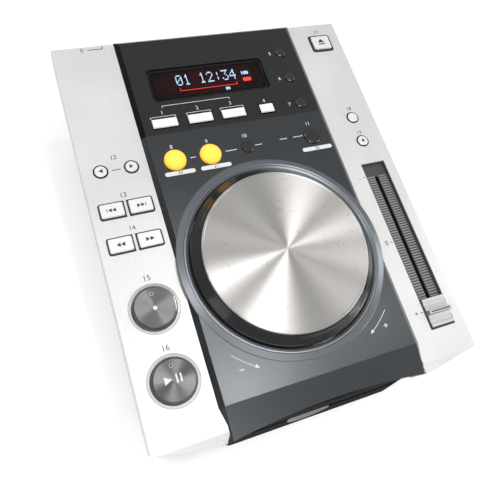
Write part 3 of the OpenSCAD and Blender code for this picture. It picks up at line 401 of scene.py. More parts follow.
def make_well_group():
    """Painted shade on the walls of the wells, below the painted top. Vector is in deck metres."""
    tree, into, out = new_group(
        "well_shade",
        [("Vector", VECTOR, ORIGIN), ("Color", COLOR, (0.7, 0.7, 0.7, 1)),
         ("Painted Shade", COLOR, (0.03, 0.03, 0.03, 1)), ("Depth", FLOAT, WELL_DEPTH * MM)],
        [("Color", COLOR)])
    sums = partial(math_node, tree)
    x, y, z = split_node(tree, into["Vector"])
    mask = sums("LESS_THAN", sums("ABSOLUTE", x), WELL_HALF_W * MM)
    mask = sums("MULTIPLY", mask, sums("GREATER_THAN", y, WELL_FRONT * MM))
    mask = sums("MULTIPLY", mask, sums("LESS_THAN", y, WELL_REAR * MM))
    mask = sums("MULTIPLY", mask, sums("LESS_THAN", sums("ADD", z, into["Depth"]), 0.0))
    # the webs between the keys of a pair get no painted shade
    beside = sums("GREATER_THAN", sums("ABSOLUTE", sums("SUBTRACT", x, WEB_X * MM)), WEB_HALF * MM)
    in_front = sums("LESS_THAN", y, WEB_FRONT * MM)
    deep = sums("LESS_THAN", z, -WEB_DEPTH * MM)
    mask = sums("MULTIPLY", mask, sums("MAXIMUM", sums("MAXIMUM", beside, in_front), deep))
    # the painted shade is paler in the wells of the two large keys
    round_well = sums("MULTIPLY", sums("LESS_THAN", x, 0.0), in_front)
    mask = sums("MULTIPLY", mask, sums("SUBTRACT", 1.0, sums("MULTIPLY", round_well, ROUND_WELL_LIGHTER)))
    tree.links.new(mix_colour(tree, mask, into["Color"], into["Painted Shade"]), out["Color"])
    return tree


def make_side_group():
    """Painted shade: a darker colour on the faces that turn away from the deck's own up."""
    tree, into, out = new_group(
        "side_shade",
        [("Normal", VECTOR, (0, 0, 1)), ("Up", VECTOR, (0, 0, 1)), ("Color", COLOR, (0.7, 0.7, 0.7, 1)),
         ("Side", COLOR, (0.02, 0.02, 0.02, 1)), ("Limit", FLOAT, 0.8)],
        [("Color", COLOR), ("Mask", FLOAT)])
    facing = vector_node(tree, "DOT_PRODUCT", into["Normal"], into["Up"])["Value"]
    mask = math_node(tree, "LESS_THAN", facing, into["Limit"])
    tree.links.new(mix_colour(tree, mask, into["Color"], into["Side"]), out["Color"])
    tree.links.new(mask, out["Mask"])
    return tree


def make_window_group():
    """A faint glow that fades toward the edges of the window. Vector is in deck metres."""
    tree, into, out = new_group(
        "window_glow",
        [("Vector", VECTOR, ORIGIN), ("Centre", VECTOR, ORIGIN), ("Half Width", FLOAT, 0.04),
         ("Half Depth", FLOAT, 0.012), ("Glow", COLOR, (0.5, 0.02, 0.03, 1))],
        [("Color", COLOR)])
    sums = partial(math_node, tree)
    away = split_node(tree, vector_node(tree, "SUBTRACT", into["Vector"], into["Centre"])[0])
    fades = []
    for axis, half in ((0, "Half Width"), (1, "Half Depth")):
        ratio = sums("DIVIDE", sums("ABSOLUTE", away[axis]), into[half])
        fades.append(sums("SUBTRACT", 1.0, sums("POWER", ratio, 2.0), True))
    glow = mix_colour(tree, sums("MULTIPLY", *fades), (0, 0, 0, 1), into["Glow"])
    tree.links.new(glow, out["Color"])
    return tree


SKIN_GROUP = make_skin_group()
TURNED_GROUP = make_turned_group()
LENS_GROUP = make_lens_group()
WELL_GROUP = make_well_group()
SIDE_GROUP = make_side_group()
WINDOW_GROUP = make_window_group()


# ---- finishes ----
MARK_GAIN, MARK_LIFT = 1.5, 0.02


def skin_material(name, base, mark=None, grain=1500.0, depth=0.15, tone=0.06, marks=0.15, rough=0.4,
                  **constants):
    """A finish on the moulded skin. constants are set straight on the shader's own sockets."""
    material, tree, shader = new_material(name)
    mark = mark or tuple(min(1.0, c * MARK_GAIN + MARK_LIFT) for c in base)
    skin = place_group(tree, SKIN_GROUP, {
        "Vector": object_coordinates(tree), "Base": (*base, 1), "Mark": (*mark, 1), "Grain Scale": grain,
        "Grain Depth": depth, "Tone": tone, "Marks": marks, "Roughness": rough})
    tree.links.new(skin["Color"], shader.inputs["Base Color"])
    tree.links.new(skin["Roughness"], shader.inputs["Roughness"])
    tree.links.new(skin["Normal"], shader.inputs["Normal"])
    for socket, value in constants.items():
        shader.inputs[socket.replace("_", " ")].default_value = value
    return material


def turned_material(name, node, base, stain, rings, depth, stains, rough, anisotropy):
    """A turned metal disc, round the middle of a node's top face."""
    material, tree, shader = new_material(name)
    centre = disc_centre(node)
    shader.inputs["Metallic"].default_value = 1.0
    shader.inputs["Anisotropic"].default_value = anisotropy
    turned = place_group(tree, TURNED_GROUP, {
        "Vector": deck_vector(tree, centre), "Base": (*base, 1), "Stain": (*stain, 1), "Rings": rings,
        "Depth": depth, "Stains": stains, "Roughness": rough})
    tree.links.new(turned["Color"], shader.inputs["Base Color"])
    tree.links.new(turned["Roughness"], shader.inputs["Roughness"])
    tree.links.new(turned["Normal"], shader.inputs["Normal"])
    # the grooves run round the disc, so the gloss spreads along its radius
    arm = vector_node(tree, "SUBTRACT", object_coordinates(tree), centre)["Vector"]
    turn = tree.nodes.new("ShaderNodeVectorTransform")
    turn.vector_type = "VECTOR"
    turn.convert_from, turn.convert_to = "OBJECT", "WORLD"
    tree.links.new(arm, turn.inputs[0])
    tree.links.new(vector_node(tree, "NORMALIZE", turn.outputs[0])["Vector"], shader.inputs["Tangent"])
    return material


def glow_material(name, colour, strength, base=(0.02, 0.02, 0.02)):
    material = skin_material(name, base, rough=0.3, marks=0.0)
    shader = shader_of(material)
    shader.inputs["Emission Color"].default_value = (*colour, 1)
    shader.inputs["Emission Strength"].default_value = strength
    return material


def lit_material(name, node):
    """The lens of a lit key, brightest round the middle of its node."""
    material = glow_material(name, (1.0, 0.47, 0.03), 0.9, (0.6, 0.27, 0.02))
    tree = material.node_tree
    low, high = deck_box(node)
    lens = place_group(tree, LENS_GROUP, {"Vector": object_coordinates(tree), "Centre": disc_centre(node),
                                          "Radius": (high.x - low.x) / 2 * MM})
    tree.links.new(lens["Color"], shader_of(material).inputs["Emission Color"])
    return material


# paints shade on the walls of the silver top's wells
def shade_wells(material):
    tree, base = material.node_tree, shader_of(material).inputs["Base Color"]
    wells = place_group(tree, WELL_GROUP, {"Vector": deck_vector(tree, deck_origin),
                                           "Color": base.links[0].from_socket})
    tree.links.new(wells["Color"], base)


def shade_sides(material, side, limit):
    """Paints shade on the faces that turn away from the top. A plain finish also turns metallic there."""
    tree, shader = material.node_tree, shader_of(material)
    base = shader.inputs["Base Color"]
    normal = tree.nodes.new("ShaderNodeTexCoord").outputs["Normal"]
    sides = place_group(tree, SIDE_GROUP, {"Normal": normal, "Up": deck_up, "Side": (*side, 1),
                                           "Limit": limit, "Color": base.links[0].from_socket})
    tree.links.new(sides["Color"], base)
    if shader.inputs["Metallic"].default_value == 0:
        tree.links.new(sides["Mask"], shader.inputs["Metallic"])


def glow_in_window(material, strength):
    tree, shader = material.node_tree, shader_of(material)
    low, high = deck_box("display_window")
    glow = place_group(tree, WINDOW_GROUP, {
        "Vector": deck_vector(tree, deck_origin), "Centre": (low + high) / 2 * MM,
        "Half Width": (high.x - low.x) / 2 * MM, "Half Depth": (high.y - low.y) / 2 * MM})
    tree.links.new(glow["Color"], shader.inputs["Emission Color"])
    shader.inputs["Emission Strength"].default_value = strength


LARGE_CAP = {"base": (0.115, 0.115, 0.113), "stain": (0.12, 0.12, 0.12), "rings": 1000, "depth": 0.0,
             "stains": 0.3, "rough": 0.28, "anisotropy": 0.95}
# colours are the finish and its marks; the rest is how grainy, worn, rough and glossy it is
MATERIALS = {
    "silver": skin_material("silver_paint", (0.7, 0.695, 0.685), (0.55, 0.54, 0.52), grain=1300, depth=0.3,
                            tone=0.34, marks=0.1, rough=0.36, Metallic=0.2, Coat_Weight=0.1),
    "case_black": skin_material("black_housing", (0.009, 0.009, 0.0095), grain=1800, depth=0.5, rough=0.5),
    "nose_black": skin_material("nose_black", (0.003, 0.003, 0.003), (0.01, 0.01, 0.01), grain=900, depth=0.1,
                                rough=0.6, Specular_IOR_Level=0.02),
    "display_panel": skin_material("display_panel_gloss", (0.006, 0.0062, 0.007), (0.04, 0.04, 0.04), grain=900,
                                   depth=0.03, marks=0.05, rough=0.3, Coat_Weight=0.2, Coat_Roughness=0.12),
    "control_panel": skin_material("control_panel_metallic", (0.062, 0.068, 0.073), (0.2, 0.2, 0.21),
                                   grain=3600, depth=0.12, tone=0.2, marks=0.06, rough=0.3, Metallic=0.8,
                                   Coat_Weight=0.25, Coat_Roughness=0.22),
    "jog_black": skin_material("dial_black", (0.004, 0.004, 0.0045), (0.05, 0.05, 0.05), grain=1200, depth=0.02,
                               marks=0.08, rough=0.14, Coat_Weight=0.2),
    "ring": skin_material("ring_grey", (0.19, 0.205, 0.222), (0.2, 0.2, 0.2), grain=2400, depth=0.0,
                          tone=0.03, marks=0.0, rough=0.3, Metallic=0.8),
    "dial_metal": turned_material("dial_turned_metal", "jog_cap", (0.5, 0.485, 0.47), (0.3, 0.27, 0.24),
                                  rings=5200, depth=0.015, stains=0.9, rough=0.3, anisotropy=0.97),
    "cue_metal": turned_material("cue_turned_metal", "cue_cap", **LARGE_CAP),
    "play_metal": turned_material("play_turned_metal", "play_cap", **LARGE_CAP),
    "silver_button": skin_material("silver_key", (0.82, 0.815, 0.8), (0.4, 0.4, 0.4), grain=2600, depth=0.06,
                                   marks=0.1, rough=0.3, Metallic=0.2),
    "white_button": skin_material("white_key", (0.86, 0.85, 0.83), (0.5, 0.48, 0.44), grain=1500, depth=0.05,
                                  marks=0.15, rough=0.35),
    "black_button": skin_material("black_key", (0.012, 0.012, 0.013), (0.09, 0.09, 0.09), grain=1500,
                                  depth=0.06, marks=0.12, rough=0.2, Coat_Weight=0.5),
    "lit_in": lit_material("lit_amber_in", "loop_in_button"),
    "lit_out": lit_material("lit_amber_out", "loop_out_button"),
    "dark_lamp": skin_material("lamp_lens", (0.02, 0.01, 0.01), rough=0.15, marks=0.0, Coat_Weight=0.4),
    "tray": skin_material("fader_tray", (0.05, 0.051, 0.053), (0.12, 0.12, 0.12), grain=2000, depth=0.15,
                          marks=0.1, rough=0.45),
    "knob": skin_material("knob_silver", (0.56, 0.56, 0.57), (0.4, 0.4, 0.4), grain=2000, depth=0.1, marks=0.1,
                          rough=0.32, Metallic=0.2),
    "window": skin_material("window_tint", (0.006, 0.0055, 0.006), (0.02, 0.015, 0.015), grain=600, depth=0.0,
                            marks=0.03, rough=0.25, Specular_IOR_Level=0.3),
    "display": skin_material("display_glass", (0.006, 0.003, 0.0035), rough=0.5, marks=0.0,
                             Specular_IOR_Level=0.1),
    "dish": skin_material("dish_moulding", (0.2, 0.2, 0.205), (0.3, 0.3, 0.3), grain=2400, depth=0.15,
                          rough=0.35, Metallic=0.3),
    "steel": skin_material("bright_steel", (0.55, 0.55, 0.56), (0.3, 0.3, 0.3), grain=3000, depth=0.1, tone=0.1,
                           rough=0.3, Metallic=1.0),
    "dark_steel": skin_material("dark_steel", (0.06, 0.06, 0.06), grain=3000, depth=0.1, rough=0.4,
                                Metallic=0.8),
    "zinc": skin_material("zinc_plate", (0.5, 0.5, 0.51), (0.35, 0.35, 0.36), grain=500, depth=0.08, tone=0.15,
                          rough=0.35, Metallic=0.9),
    "brass": skin_material("brass", (0.62, 0.46, 0.2), (0.4, 0.3, 0.14), grain=2500, depth=0.1, rough=0.28,
                           Metallic=1.0),
    "moulding": skin_material("black_moulding", (0.02, 0.02, 0.021), grain=1500, depth=0.3, rough=0.5),
    "rubber": skin_material("rubber", (0.02, 0.02, 0.02), (0.07, 0.07, 0.07), grain=1200, depth=0.5,
                            rough=0.75),
    "board": skin_material("board_green", (0.02, 0.12, 0.05), (0.1, 0.2, 0.1), grain=700, depth=0.2, rough=0.4),
    "supply": skin_material("supply_board", (0.16, 0.11, 0.04), (0.25, 0.2, 0.1), grain=700, depth=0.2,
                            rough=0.5),
    "scratch": skin_material("scratch_grey", (0.09, 0.08, 0.07), (0.2, 0.18, 0.16), rough=0.5, marks=0.3),
    "smudge": skin_material("smudge_grey", (0.42, 0.4, 0.38), (0.3, 0.28, 0.26), marks=0.5, rough=0.45,
                            Metallic=0.8),
    "white_ink": skin_material("white_print", (0.72, 0.72, 0.73), (0.5, 0.5, 0.5), rough=0.5, marks=0.2),
    "dark_ink": skin_material("dark_print", (0.03, 0.03, 0.032), (0.2, 0.2, 0.2), rough=0.5, marks=0.2),
    "rim_ink": skin_material("rim_print", (0.24, 0.24, 0.235), (0.3, 0.3, 0.3), rough=0.4, marks=0.2),
    "grey_ink": skin_material("grey_print", (0.27, 0.27, 0.27), (0.2, 0.2, 0.2), rough=0.5, marks=0.2),
    "glow_white": glow_material("lit_digits", (0.45, 0.74, 1.0), 3.6),
    "glow_red": glow_material("lit_red_marks", (1.0, 0.05, 0.04), 2.2),
}

# painted shade on what turns away from the top and on the walls of the wells, and the glow in the window
WINDOW_ALPHA, WINDOW_GLOW = 0.2, 0.12
# painted shade on the sides of these parts: part, shade colour, limit
DARK_SIDES = (
    ("control_panel", (0.03, 0.033, 0.036), 0.8),
    ("display_panel", (0.003, 0.003, 0.003), 0.8),
    ("silver_button", (0.16, 0.16, 0.16), 0.6),
    ("white_button", (0.3, 0.3, 0.3), 0.6),
    ("knob", (0.2, 0.2, 0.2), 0.6),
)


def finish_materials():
    shader_of(MATERIALS["window"]).inputs["Alpha"].default_value = WINDOW_ALPHA
    glow_in_window(MATERIALS["window"], WINDOW_GLOW)
    shade_wells(MATERIALS["silver"])
    for name, side, limit in DARK_SIDES:
        shade_sides(MATERIALS[name], side, limit)


FINISHES = {
    "silver": ["upper_case"],
    "case_black": ["lower_case"],
    "nose_black": ["slot_nose"],
    "display_panel": ["display_panel"],
    "control_panel": ["control_panel"],
    "jog_black": ["jog_skirt"],
    "ring": ["jog_ring"],
    "dial_metal": ["jog_cap"],
    "cue_metal": ["cue_cap"],
    "play_metal": ["play_cap"],
    "silver_button": ["eject_button", "folder_back_button", "folder_next_button", "track_back_button",
                      "track_next_button", "search_back_button", "search_next_button", "range_button",
                      "key_button"],
    "white_button": ["bar_button_1", "bar_button_2", "bar_button_3", "bar_button_4"],
    "black_button": ["text_button", "time_button", "auto_button", "reloop_button", "loop_button", "cue_button",
                     "play_button"],
    "lit_in": ["loop_in_button"],
    "lit_out": ["loop_out_button"],
    "tray": ["fader_plate"],
    "knob": ["fader_knob"],
    "window": ["display_window"],
    "display": ["display_module"],
    "dish": ["finger_dish"],
    "steel": ["jog_shaft", "fader_lever", "guide_rod", "sled_screw", "drive_motors"],
    # the fader unit takes the dark steel so that the fader's slot reads dark, which is painted shade
    "dark_steel": ["case_screws", "fader_unit"],
    "zinc": ["loader_chassis"],
    "brass": ["jog_bearing", "audio_jacks"],
    "moulding": ["encoder_disc", "power_button", "power_switch", "control_jack", "cord_gland", "turntable",
                 "clamp_puck", "pickup_sled"],
    "rubber": ["feet", "loading_roller"],
    "board": ["main_board", "panel_board"],
    "supply": ["power_supply"],
}


def dress_nodes():
    for finish, nodes in FINISHES.items():
        for node in nodes:
            mesh = frame["nodes"][node].data
            mesh.materials.clear()
            mesh.materials.append(MATERIALS[finish])


# ---- flat and raised details, drawn in deck millimetres ----
PRINT_T = 0.06
DISC_STEPS = 24
PILL_STEPS = 8
HEAD_SPREAD, TRIANGLE_HALF = 0.42, 0.55
RAY_START = 60


def prism(outline, z0, z1):
    """A flat solid of an outline [(x, y)], with its faces outward."""
    turn = sum(a[0] * b[1] - b[0] * a[1] for a, b in zip(outline, outline[1:] + outline[:1]))
    if turn < 0:
        outline = outline[::-1]
    n = len(outline)
    vertices = [(x, y, z) for z in (z0, z1) for x, y in outline]
    faces = [tuple(range(n - 1, -1, -1)), tuple(range(n, 2 * n))]
    faces += [(i, (i + 1) % n, n + (i + 1) % n, n + i) for i in range(n)]
    return vertices, faces


def block(x0, y0, x1, y1):
    return [(x0, y0), (x1, y0), (x1, y1), (x0, y1)]


def bar(x, y, w, d, z):
    return prism(block(x - w / 2, y - d / 2, x + w / 2, y + d / 2), z, z + PRINT_T)


def stroke(a, b, w, z):
    """A straight printed line from a to b."""
    dx, dy = b[0] - a[0], b[1] - a[1]
    length = math.hypot(dx, dy)
    nx, ny = -dy / length * w / 2, dx / length * w / 2
    outline = [(a[0] - nx, a[1] - ny), (b[0] - nx, b[1] - ny), (b[0] + nx, b[1] + ny), (a[0] + nx, a[1] + ny)]
    return prism(outline, z, z + PRINT_T)


def arc_points(x, y, r, a0, a1, steps):
    turns = [math.radians(a0 + (a1 - a0) * i / steps) for i in range(steps + 1)]
    return [(x + r * math.cos(a), y + r * math.sin(a)) for a in turns]


def round_outline(x, y, r, steps=DISC_STEPS):
    return arc_points(x, y, r, 0, 360 * (steps - 1) / steps, steps - 1)


def pill(x, y, w, d, z):
    reach = (w - d) / 2
    right = arc_points(x + reach, y, d / 2, -90, 90, PILL_STEPS)
    left = arc_points(x - reach, y, d / 2, 90, 270, PILL_STEPS)
    return prism(right + left, z, z + PRINT_T)


def curve_line(points, w, z):
    return [stroke(a, b, w, z) for a, b in zip(points, points[1:])]


def arrow_head(x, y, angle, size, z):
    """A solid arrow head with its tip at a point, in degrees from the x axis."""
    a = math.radians(angle)
    back = (x - size * math.cos(a), y - size * math.sin(a))
    side = (-math.sin(a) * size * HEAD_SPREAD, math.cos(a) * size * HEAD_SPREAD)
    outline = [(x, y), (back[0] + side[0], back[1] + side[1]), (back[0] - side[0], back[1] - side[1])]
    return prism(outline, z, z + PRINT_T)


def triangle(x, y, size, way):
    """A play triangle's outline that points right for way 1 and left for way -1."""
    half = size * TRIANGLE_HALF
    return [(x + way * size / 2, y), (x - way * size / 2, y + half), (x - way * size / 2, y - half)]


def build_mesh(name, parts):
    vertices, faces = [], []
    for part_vertices, part_faces in parts:
        start = len(vertices)
        vertices += part_vertices
        faces += [tuple(start + i for i in face) for face in part_faces]
    mesh = bpy.data.meshes.new(name)
    mesh.from_pydata(vertices, [], faces)
    mesh.update()
    return mesh


def put_mesh(name, mesh, material, body):
    """Sets a mesh drawn in millimetres on the deck, with its finish and body."""
    mesh.transform(DECK)
    mesh.materials.clear()
    mesh.materials.append(MATERIALS[material])
    piece = bpy.data.objects.new(name, mesh)
    bpy.context.scene.collection.objects.link(piece)
    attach(piece, body)


def put(name, parts, material, body):
    put_mesh(name, build_mesh(name, parts), material, body)


def top_at(node, x, y):
    """Height of a node's own top face above a point of the deck, in deck millimetres."""
    start = DECK @ Vector((x, y, RAY_START))
    hit, place, _, _ = frame["nodes"][node].ray_cast(start, -deck_up)
    return (DECK.inverted() @ place).z if hit else 0.0


def evaluated_mesh(holder):
    """The finished mesh of a holder object, linked only while it is evaluated."""
    bpy.context.scene.collection.objects.link(holder)
    bpy.context.view_layer.update()
    evaluated = holder.evaluated_get(bpy.context.evaluated_depsgraph_get())
    mesh = bpy.data.meshes.new_from_object(evaluated)
    holder.modifiers.clear()
    bpy.data.objects.remove(holder)
    return mesh


def number_parts(text, x, y, size, z):
    """Plain figures in the built-in face, centred on a point."""
    curve = bpy.data.curves.new("figures", "FONT")
    curve.body = text
    curve.size = size
    curve.align_x, curve.align_y = "CENTER", "CENTER"
    curve.extrude = PRINT_T / 2
    curve.resolution_u = 3
    mesh = evaluated_mesh(bpy.data.objects.new("figures", curve))
    parts = ([(v.co.x + x, v.co.y + y, v.co.z + z + PRINT_T / 2) for v in mesh.vertices],
             [tuple(face.vertices) for face in mesh.polygons])
    bpy.data.curves.remove(curve)
    bpy.data.meshes.remove(mesh)
    return parts


# ---- repeated marks, by geometry nodes ----
def make_repeat_tree():
    """A block of a given size and finish on every point."""
    tree = bpy.data.node_groups.new("repeat_marks", "GeometryNodeTree")
    sockets = [("Geometry", "NodeSocketGeometry"), ("Width", FLOAT), ("Depth", FLOAT), ("Thickness", FLOAT),
               ("Material", "NodeSocketMaterial")]
    for name, kind in sockets:
        tree.interface.new_socket(name, in_out="INPUT", socket_type=kind)
    tree.interface.new_socket("Geometry", in_out="OUTPUT", socket_type="NodeSocketGeometry")
    into, out = tree.nodes.new("NodeGroupInput").outputs, tree.nodes.new("NodeGroupOutput").inputs
    cube = tree.nodes.new("GeometryNodeMeshCube")
    tree.links.new(join_node(tree, into["Width"], into["Depth"], into["Thickness"]), cube.inputs["Size"])
    place = tree.nodes.new("GeometryNodeInstanceOnPoints")
    tree.links.new(into["Geometry"], place.inputs["Points"])
    tree.links.new(cube.outputs["Mesh"], place.inputs["Instance"])
    real = tree.nodes.new("GeometryNodeRealizeInstances")
    tree.links.new(place.outputs["Instances"], real.inputs["Geometry"])
    paint = tree.nodes.new("GeometryNodeSetMaterial")
    tree.links.new(real.outputs[0], paint.inputs["Geometry"])
    tree.links.new(into["Material"], paint.inputs["Material"])
    tree.links.new(paint.outputs[0], out[0])
    return tree


REPEAT = make_repeat_tree()


def put_repeated(name, points, size, material):
    """One small block on every point, made by the repeat tree."""
    mesh = bpy.data.meshes.new(name + "_points")
    mesh.from_pydata(points, [], [])
    holder = bpy.data.objects.new(name + "_points", mesh)
    modifier = holder.modifiers.new("repeat", "NODES")
    modifier.node_group = REPEAT
    values = dict(zip(("Width", "Depth", "Thickness"), size), Material=MATERIALS[material])
    for item in REPEAT.interface.items_tree:
        if item.name in values:
            modifier[item.identifier] = values[item.name]
    made = evaluated_mesh(holder)
    bpy.data.meshes.remove(mesh)
    made.name = name
    put_mesh(name, made, material, "case")


# ---- places of the controls on the deck, in millimetres ----
PAIR_X, TEMPO_X, FADER_X, BIG_X = -86.7, 91.1, 91.4, -86.1
CUE_Y, PLAY_Y = -57.1, -100.2
BARS = ((-48.1, 17.1), (-23.3, 17.1), (0.9, 17.1), (26.0, 10.3))
BAR_Y = 63.5
SMALL_X, SMALL_YS = 53.0, (109.8, 87.0, 64.1)
PILLS = ((-47.9, 25.5, 20.4), (-23.3, 25.5, 21.2), (52.2, 25.8, 23.0))
PILL_D = 3.0
LINE_W, THIN_W, CURVE_W = 0.5, 0.35, 0.36

# x, y and length of the lines that join the loop controls
LOOP_LINES = ((-36.7, 34.9, 3.8), (-9.8, 35.3, 8.0), (10.5, 36.2, 5.0), (29.8, 37.3, 5.6), (41.0, 37.3, 7.4))
# a small bracket over each of three bars, and a wide one over them all
SMALL_RISE, SMALL_LEG_RISE, SMALL_LEG = 5.6, 4.9, 1.4
BRACKET_MIDDLE, BRACKET_W, BRACKET_Y = -22.6, 48.3, 77.2
BRACKET_ENDS, BRACKET_LEG = (-46.8, 1.5), 1.6
LOOP_LAMP, LOOP_LAMP_T = (35.1, 37.3, 1.1), 0.2
# turning marks in front of the dial
TURN_R, TURN_STEPS = 74.2, 6
HEAD_SIZE, HEAD_OUT, HEAD_DOWN = 2.8, 1.2, 0.9
SIGN_X, SIGN_BACK_X, SIGN_Y, SIGN_W, SIGN_T = 50.1, -47.7, -105.8, 3.0, 0.6
# plain figures beside the controls: figure, x, y, size
PANEL_FIGURES = (
    *((str(i + 1), x, BAR_Y + 8.6, 4.0) for i, (x, _) in enumerate(BARS[:3])),
    ("4", BARS[3][0], BAR_Y + 6.6, 4.0),
    *((str(i + 5), SMALL_X - 8.6, y, 4.0) for i, y in enumerate(SMALL_YS)),
    ("8", -48.9, 45.0, 4.0), ("9", -24.6, 45.0, 4.0), ("10", 2.4, 44.6, 4.0), ("11", 51.9, 46.0, 4.0),
)
WING_FIGURES = (
    ("0", -88.4, 132.0, 4.4), ("12", PAIR_X, 46.0, 4.4), ("13", PAIR_X, 18.6, 4.8), ("14", PAIR_X, -4.4, 4.4),
    ("15", BIG_X, -38.0, 5.0), ("16", BIG_X, -81.2, 5.0), ("17", FADER_X, 127.6, 4.4),
    ("18", TEMPO_X, 54.8, 4.0), ("19", TEMPO_X, 33.6, 4.0),
)
# the power mark at the rear left corner and the line between the folder keys: x, y, width, depth
WING_LINES = ((-79.4, 132.0, 10.4, LINE_W), (-74.4, 133.4, LINE_W, 3.0), (-86.8, 37.0, 5.8, LINE_W))
PILL_FIRST, PILL_SIZE = 20, 3.2
# scale beside the fader
SCALE_X, SCALE_LINE_X, SCALE_LINE_W, SCALE_SIZE = 76.2, 80.2, 1.8, 5.0
SCALE_MARKS = ((-2.5, "-"), (-53.5, "0"), (-104.8, "+"))
TICK_SIDES, TICK_START, TICK_PITCH, TICK_COUNT = (-4.9, 4.9), -107.0, 1.9, 56
TICK_W, TICK_D = 6.6, 0.75
RIM_R, RIM_STEPS = 15.2, 64
KNOB_Y, KNOB_LINE_D, KNOB_MARGIN = -106.5, 0.9, 2.4


def turning_mark(start, end, head_side, head_angle, z):
    """An arc in front of the dial with an arrow head just past its end."""
    points = arc_points(JOG_X, JOG_Y, TURN_R, start, end, TURN_STEPS)
    x, y = points[-1]
    head = arrow_head(x + head_side * HEAD_OUT, y - HEAD_DOWN, head_angle, HEAD_SIZE, z)
    return [*curve_line(points, CURVE_W, z), head]


def panel_prints():
    z = PANEL_TOP
    lines = []
    for x, w in BARS[:3]:
        lines += [bar(x, BAR_Y + SMALL_RISE, w, THIN_W, z)]
        lines += [bar(x + end * w / 2, BAR_Y + SMALL_LEG_RISE, THIN_W, SMALL_LEG, z) for end in (-1, 1)]
    lines += [bar(BRACKET_MIDDLE, BRACKET_Y, BRACKET_W, THIN_W, z)]
    lines += [bar(x, BRACKET_Y - BRACKET_LEG / 2, THIN_W, BRACKET_LEG, z) for x in BRACKET_ENDS]
    lines += [pill(x, y, w, PILL_D, z) for x, y, w in PILLS]
    lines += [bar(x, y, w, LINE_W, z) for x, y, w in LOOP_LINES]
    lines += turning_mark(-45, -59, -1, 218, z) + turning_mark(-135, -122, 1, -38, z)
    lines += [bar(SIGN_X, SIGN_Y, SIGN_W, SIGN_T, z), bar(SIGN_X, SIGN_Y, SIGN_T, SIGN_W, z)]
    lines += [bar(SIGN_BACK_X, SIGN_Y, SIGN_W, SIGN_T, z)]
    lines += [number_parts(*figure, z) for figure in PANEL_FIGURES]
    dark = [number_parts(str(PILL_FIRST + i), x, y, PILL_SIZE, z + PRINT_T)
            for i, (x, y, _) in enumerate(PILLS)]
    put("pill_prints", dark, "dark_ink", "case")
    put("panel_prints", lines, "white_ink", "case")
    lamp = prism(round_outline(*LOOP_LAMP), z, z + LOOP_LAMP_T)
    put("loop_lamp", [lamp], "dark_lamp", "case")


def wing_prints():
    dark = [bar(x, y, w, d, 0) for x, y, w, d in WING_LINES]
    dark += [number_parts(*figure, 0) for figure in WING_FIGURES]
    for y, figure in SCALE_MARKS:
        dark += [number_parts(figure, SCALE_X, y, SCALE_SIZE, 0), bar(SCALE_LINE_X, y, SCALE_LINE_W, LINE_W, 0)]
    for y in (CUE_Y, PLAY_Y):
        rim = curve_line(arc_points(BIG_X, y, RIM_R, 0, 360, RIM_STEPS), CURVE_W, 0)
        put(f"key_rim_{-y:.0f}", rim, "rim_ink", "case")
    put("wing_prints", dark, "dark_ink", "case")


def fader_prints():
    z = top_at("fader_plate", FADER_X - 6.0, -50) + PRINT_T / 2
    points = [(FADER_X + side, TICK_START + i * TICK_PITCH, z)
              for side in TICK_SIDES for i in range(TICK_COUNT)]
    put_repeated("fader_ticks", points, (TICK_W, TICK_D, PRINT_T), "grey_ink")


def knob_line():
    z = top_at("fader_knob", FADER_X, KNOB_Y)
    low, high = deck_box("fader_knob")
    line = bar(FADER_X, KNOB_Y, high.x - low.x - KNOB_MARGIN, KNOB_LINE_D, z)
    put("knob_line", [line], "dark_ink", "fader")


# ---- symbols that ride on the keys ----
TRACK_Y, SEARCH_Y, FOLDER_Y, KEY_Y = 9.3, -14.0, 37.3, 26.5
PAIR_ENDS = (("back", -95.65, -1), ("next", -77.75, 1))
FOLDER_ENDS = (("back", -96.5, -1), ("next", -76.9, 1))
EJECT_HALF, EJECT_TOP, EJECT_Y, EJECT_BAR_Y = 2.7, 119.9, 116.6, 114.6
PAUSE_XS, PAUSE_FRONT, PAUSE_REAR = (-84.6, -82.2), -102.0, -97.2
PLAY_AT, CUE_DOT_Y, CUE_DOT_R, KEY_DOT_R = (-89.6, -99.6, 4.2), -57.6, 1.3, 1.1
TRACK_SIZE, SEARCH_SIZE = 2.4, 2.6
SKIP_BACK, SKIP_AHEAD, EDGE_AHEAD, EDGE_HALF, PAUSE_HALF = 0.5, 0.55, 1.3, 0.2, 0.5
LAMP_UP, LAMP_R, LAMP_T = 8.2, 0.8, 0.1
LAMP_RIM_R, LAMP_RIM_W, LAMP_RIM_STEPS = 0.95, 0.25, 16


def skip_symbol(x, y, size, way, with_bar):
    """Two triangles, and a bar ahead of them for a skip key."""
    outlines = [triangle(x - way * size * SKIP_BACK, y, size, way),
                triangle(x + way * size * SKIP_AHEAD, y, size, way)]
    if with_bar:
        edge, half = x + way * size * EDGE_AHEAD, size * TRIANGLE_HALF
        outlines.append(block(edge - EDGE_HALF, y - half, edge + EDGE_HALF, y + half))
    return outlines


def symbol(name, node, body, outlines, material, slot):
    """Prints outlines on a key's own top, at the height under the first of them."""
    x = sum(p[0] for p in outlines[0]) / len(outlines[0])
    y = sum(p[1] for p in outlines[0]) / len(outlines[0])
    z = top_at(node, x, y)
    put(name, [prism(outline, z, z + PRINT_T) for outline in outlines], material, body)


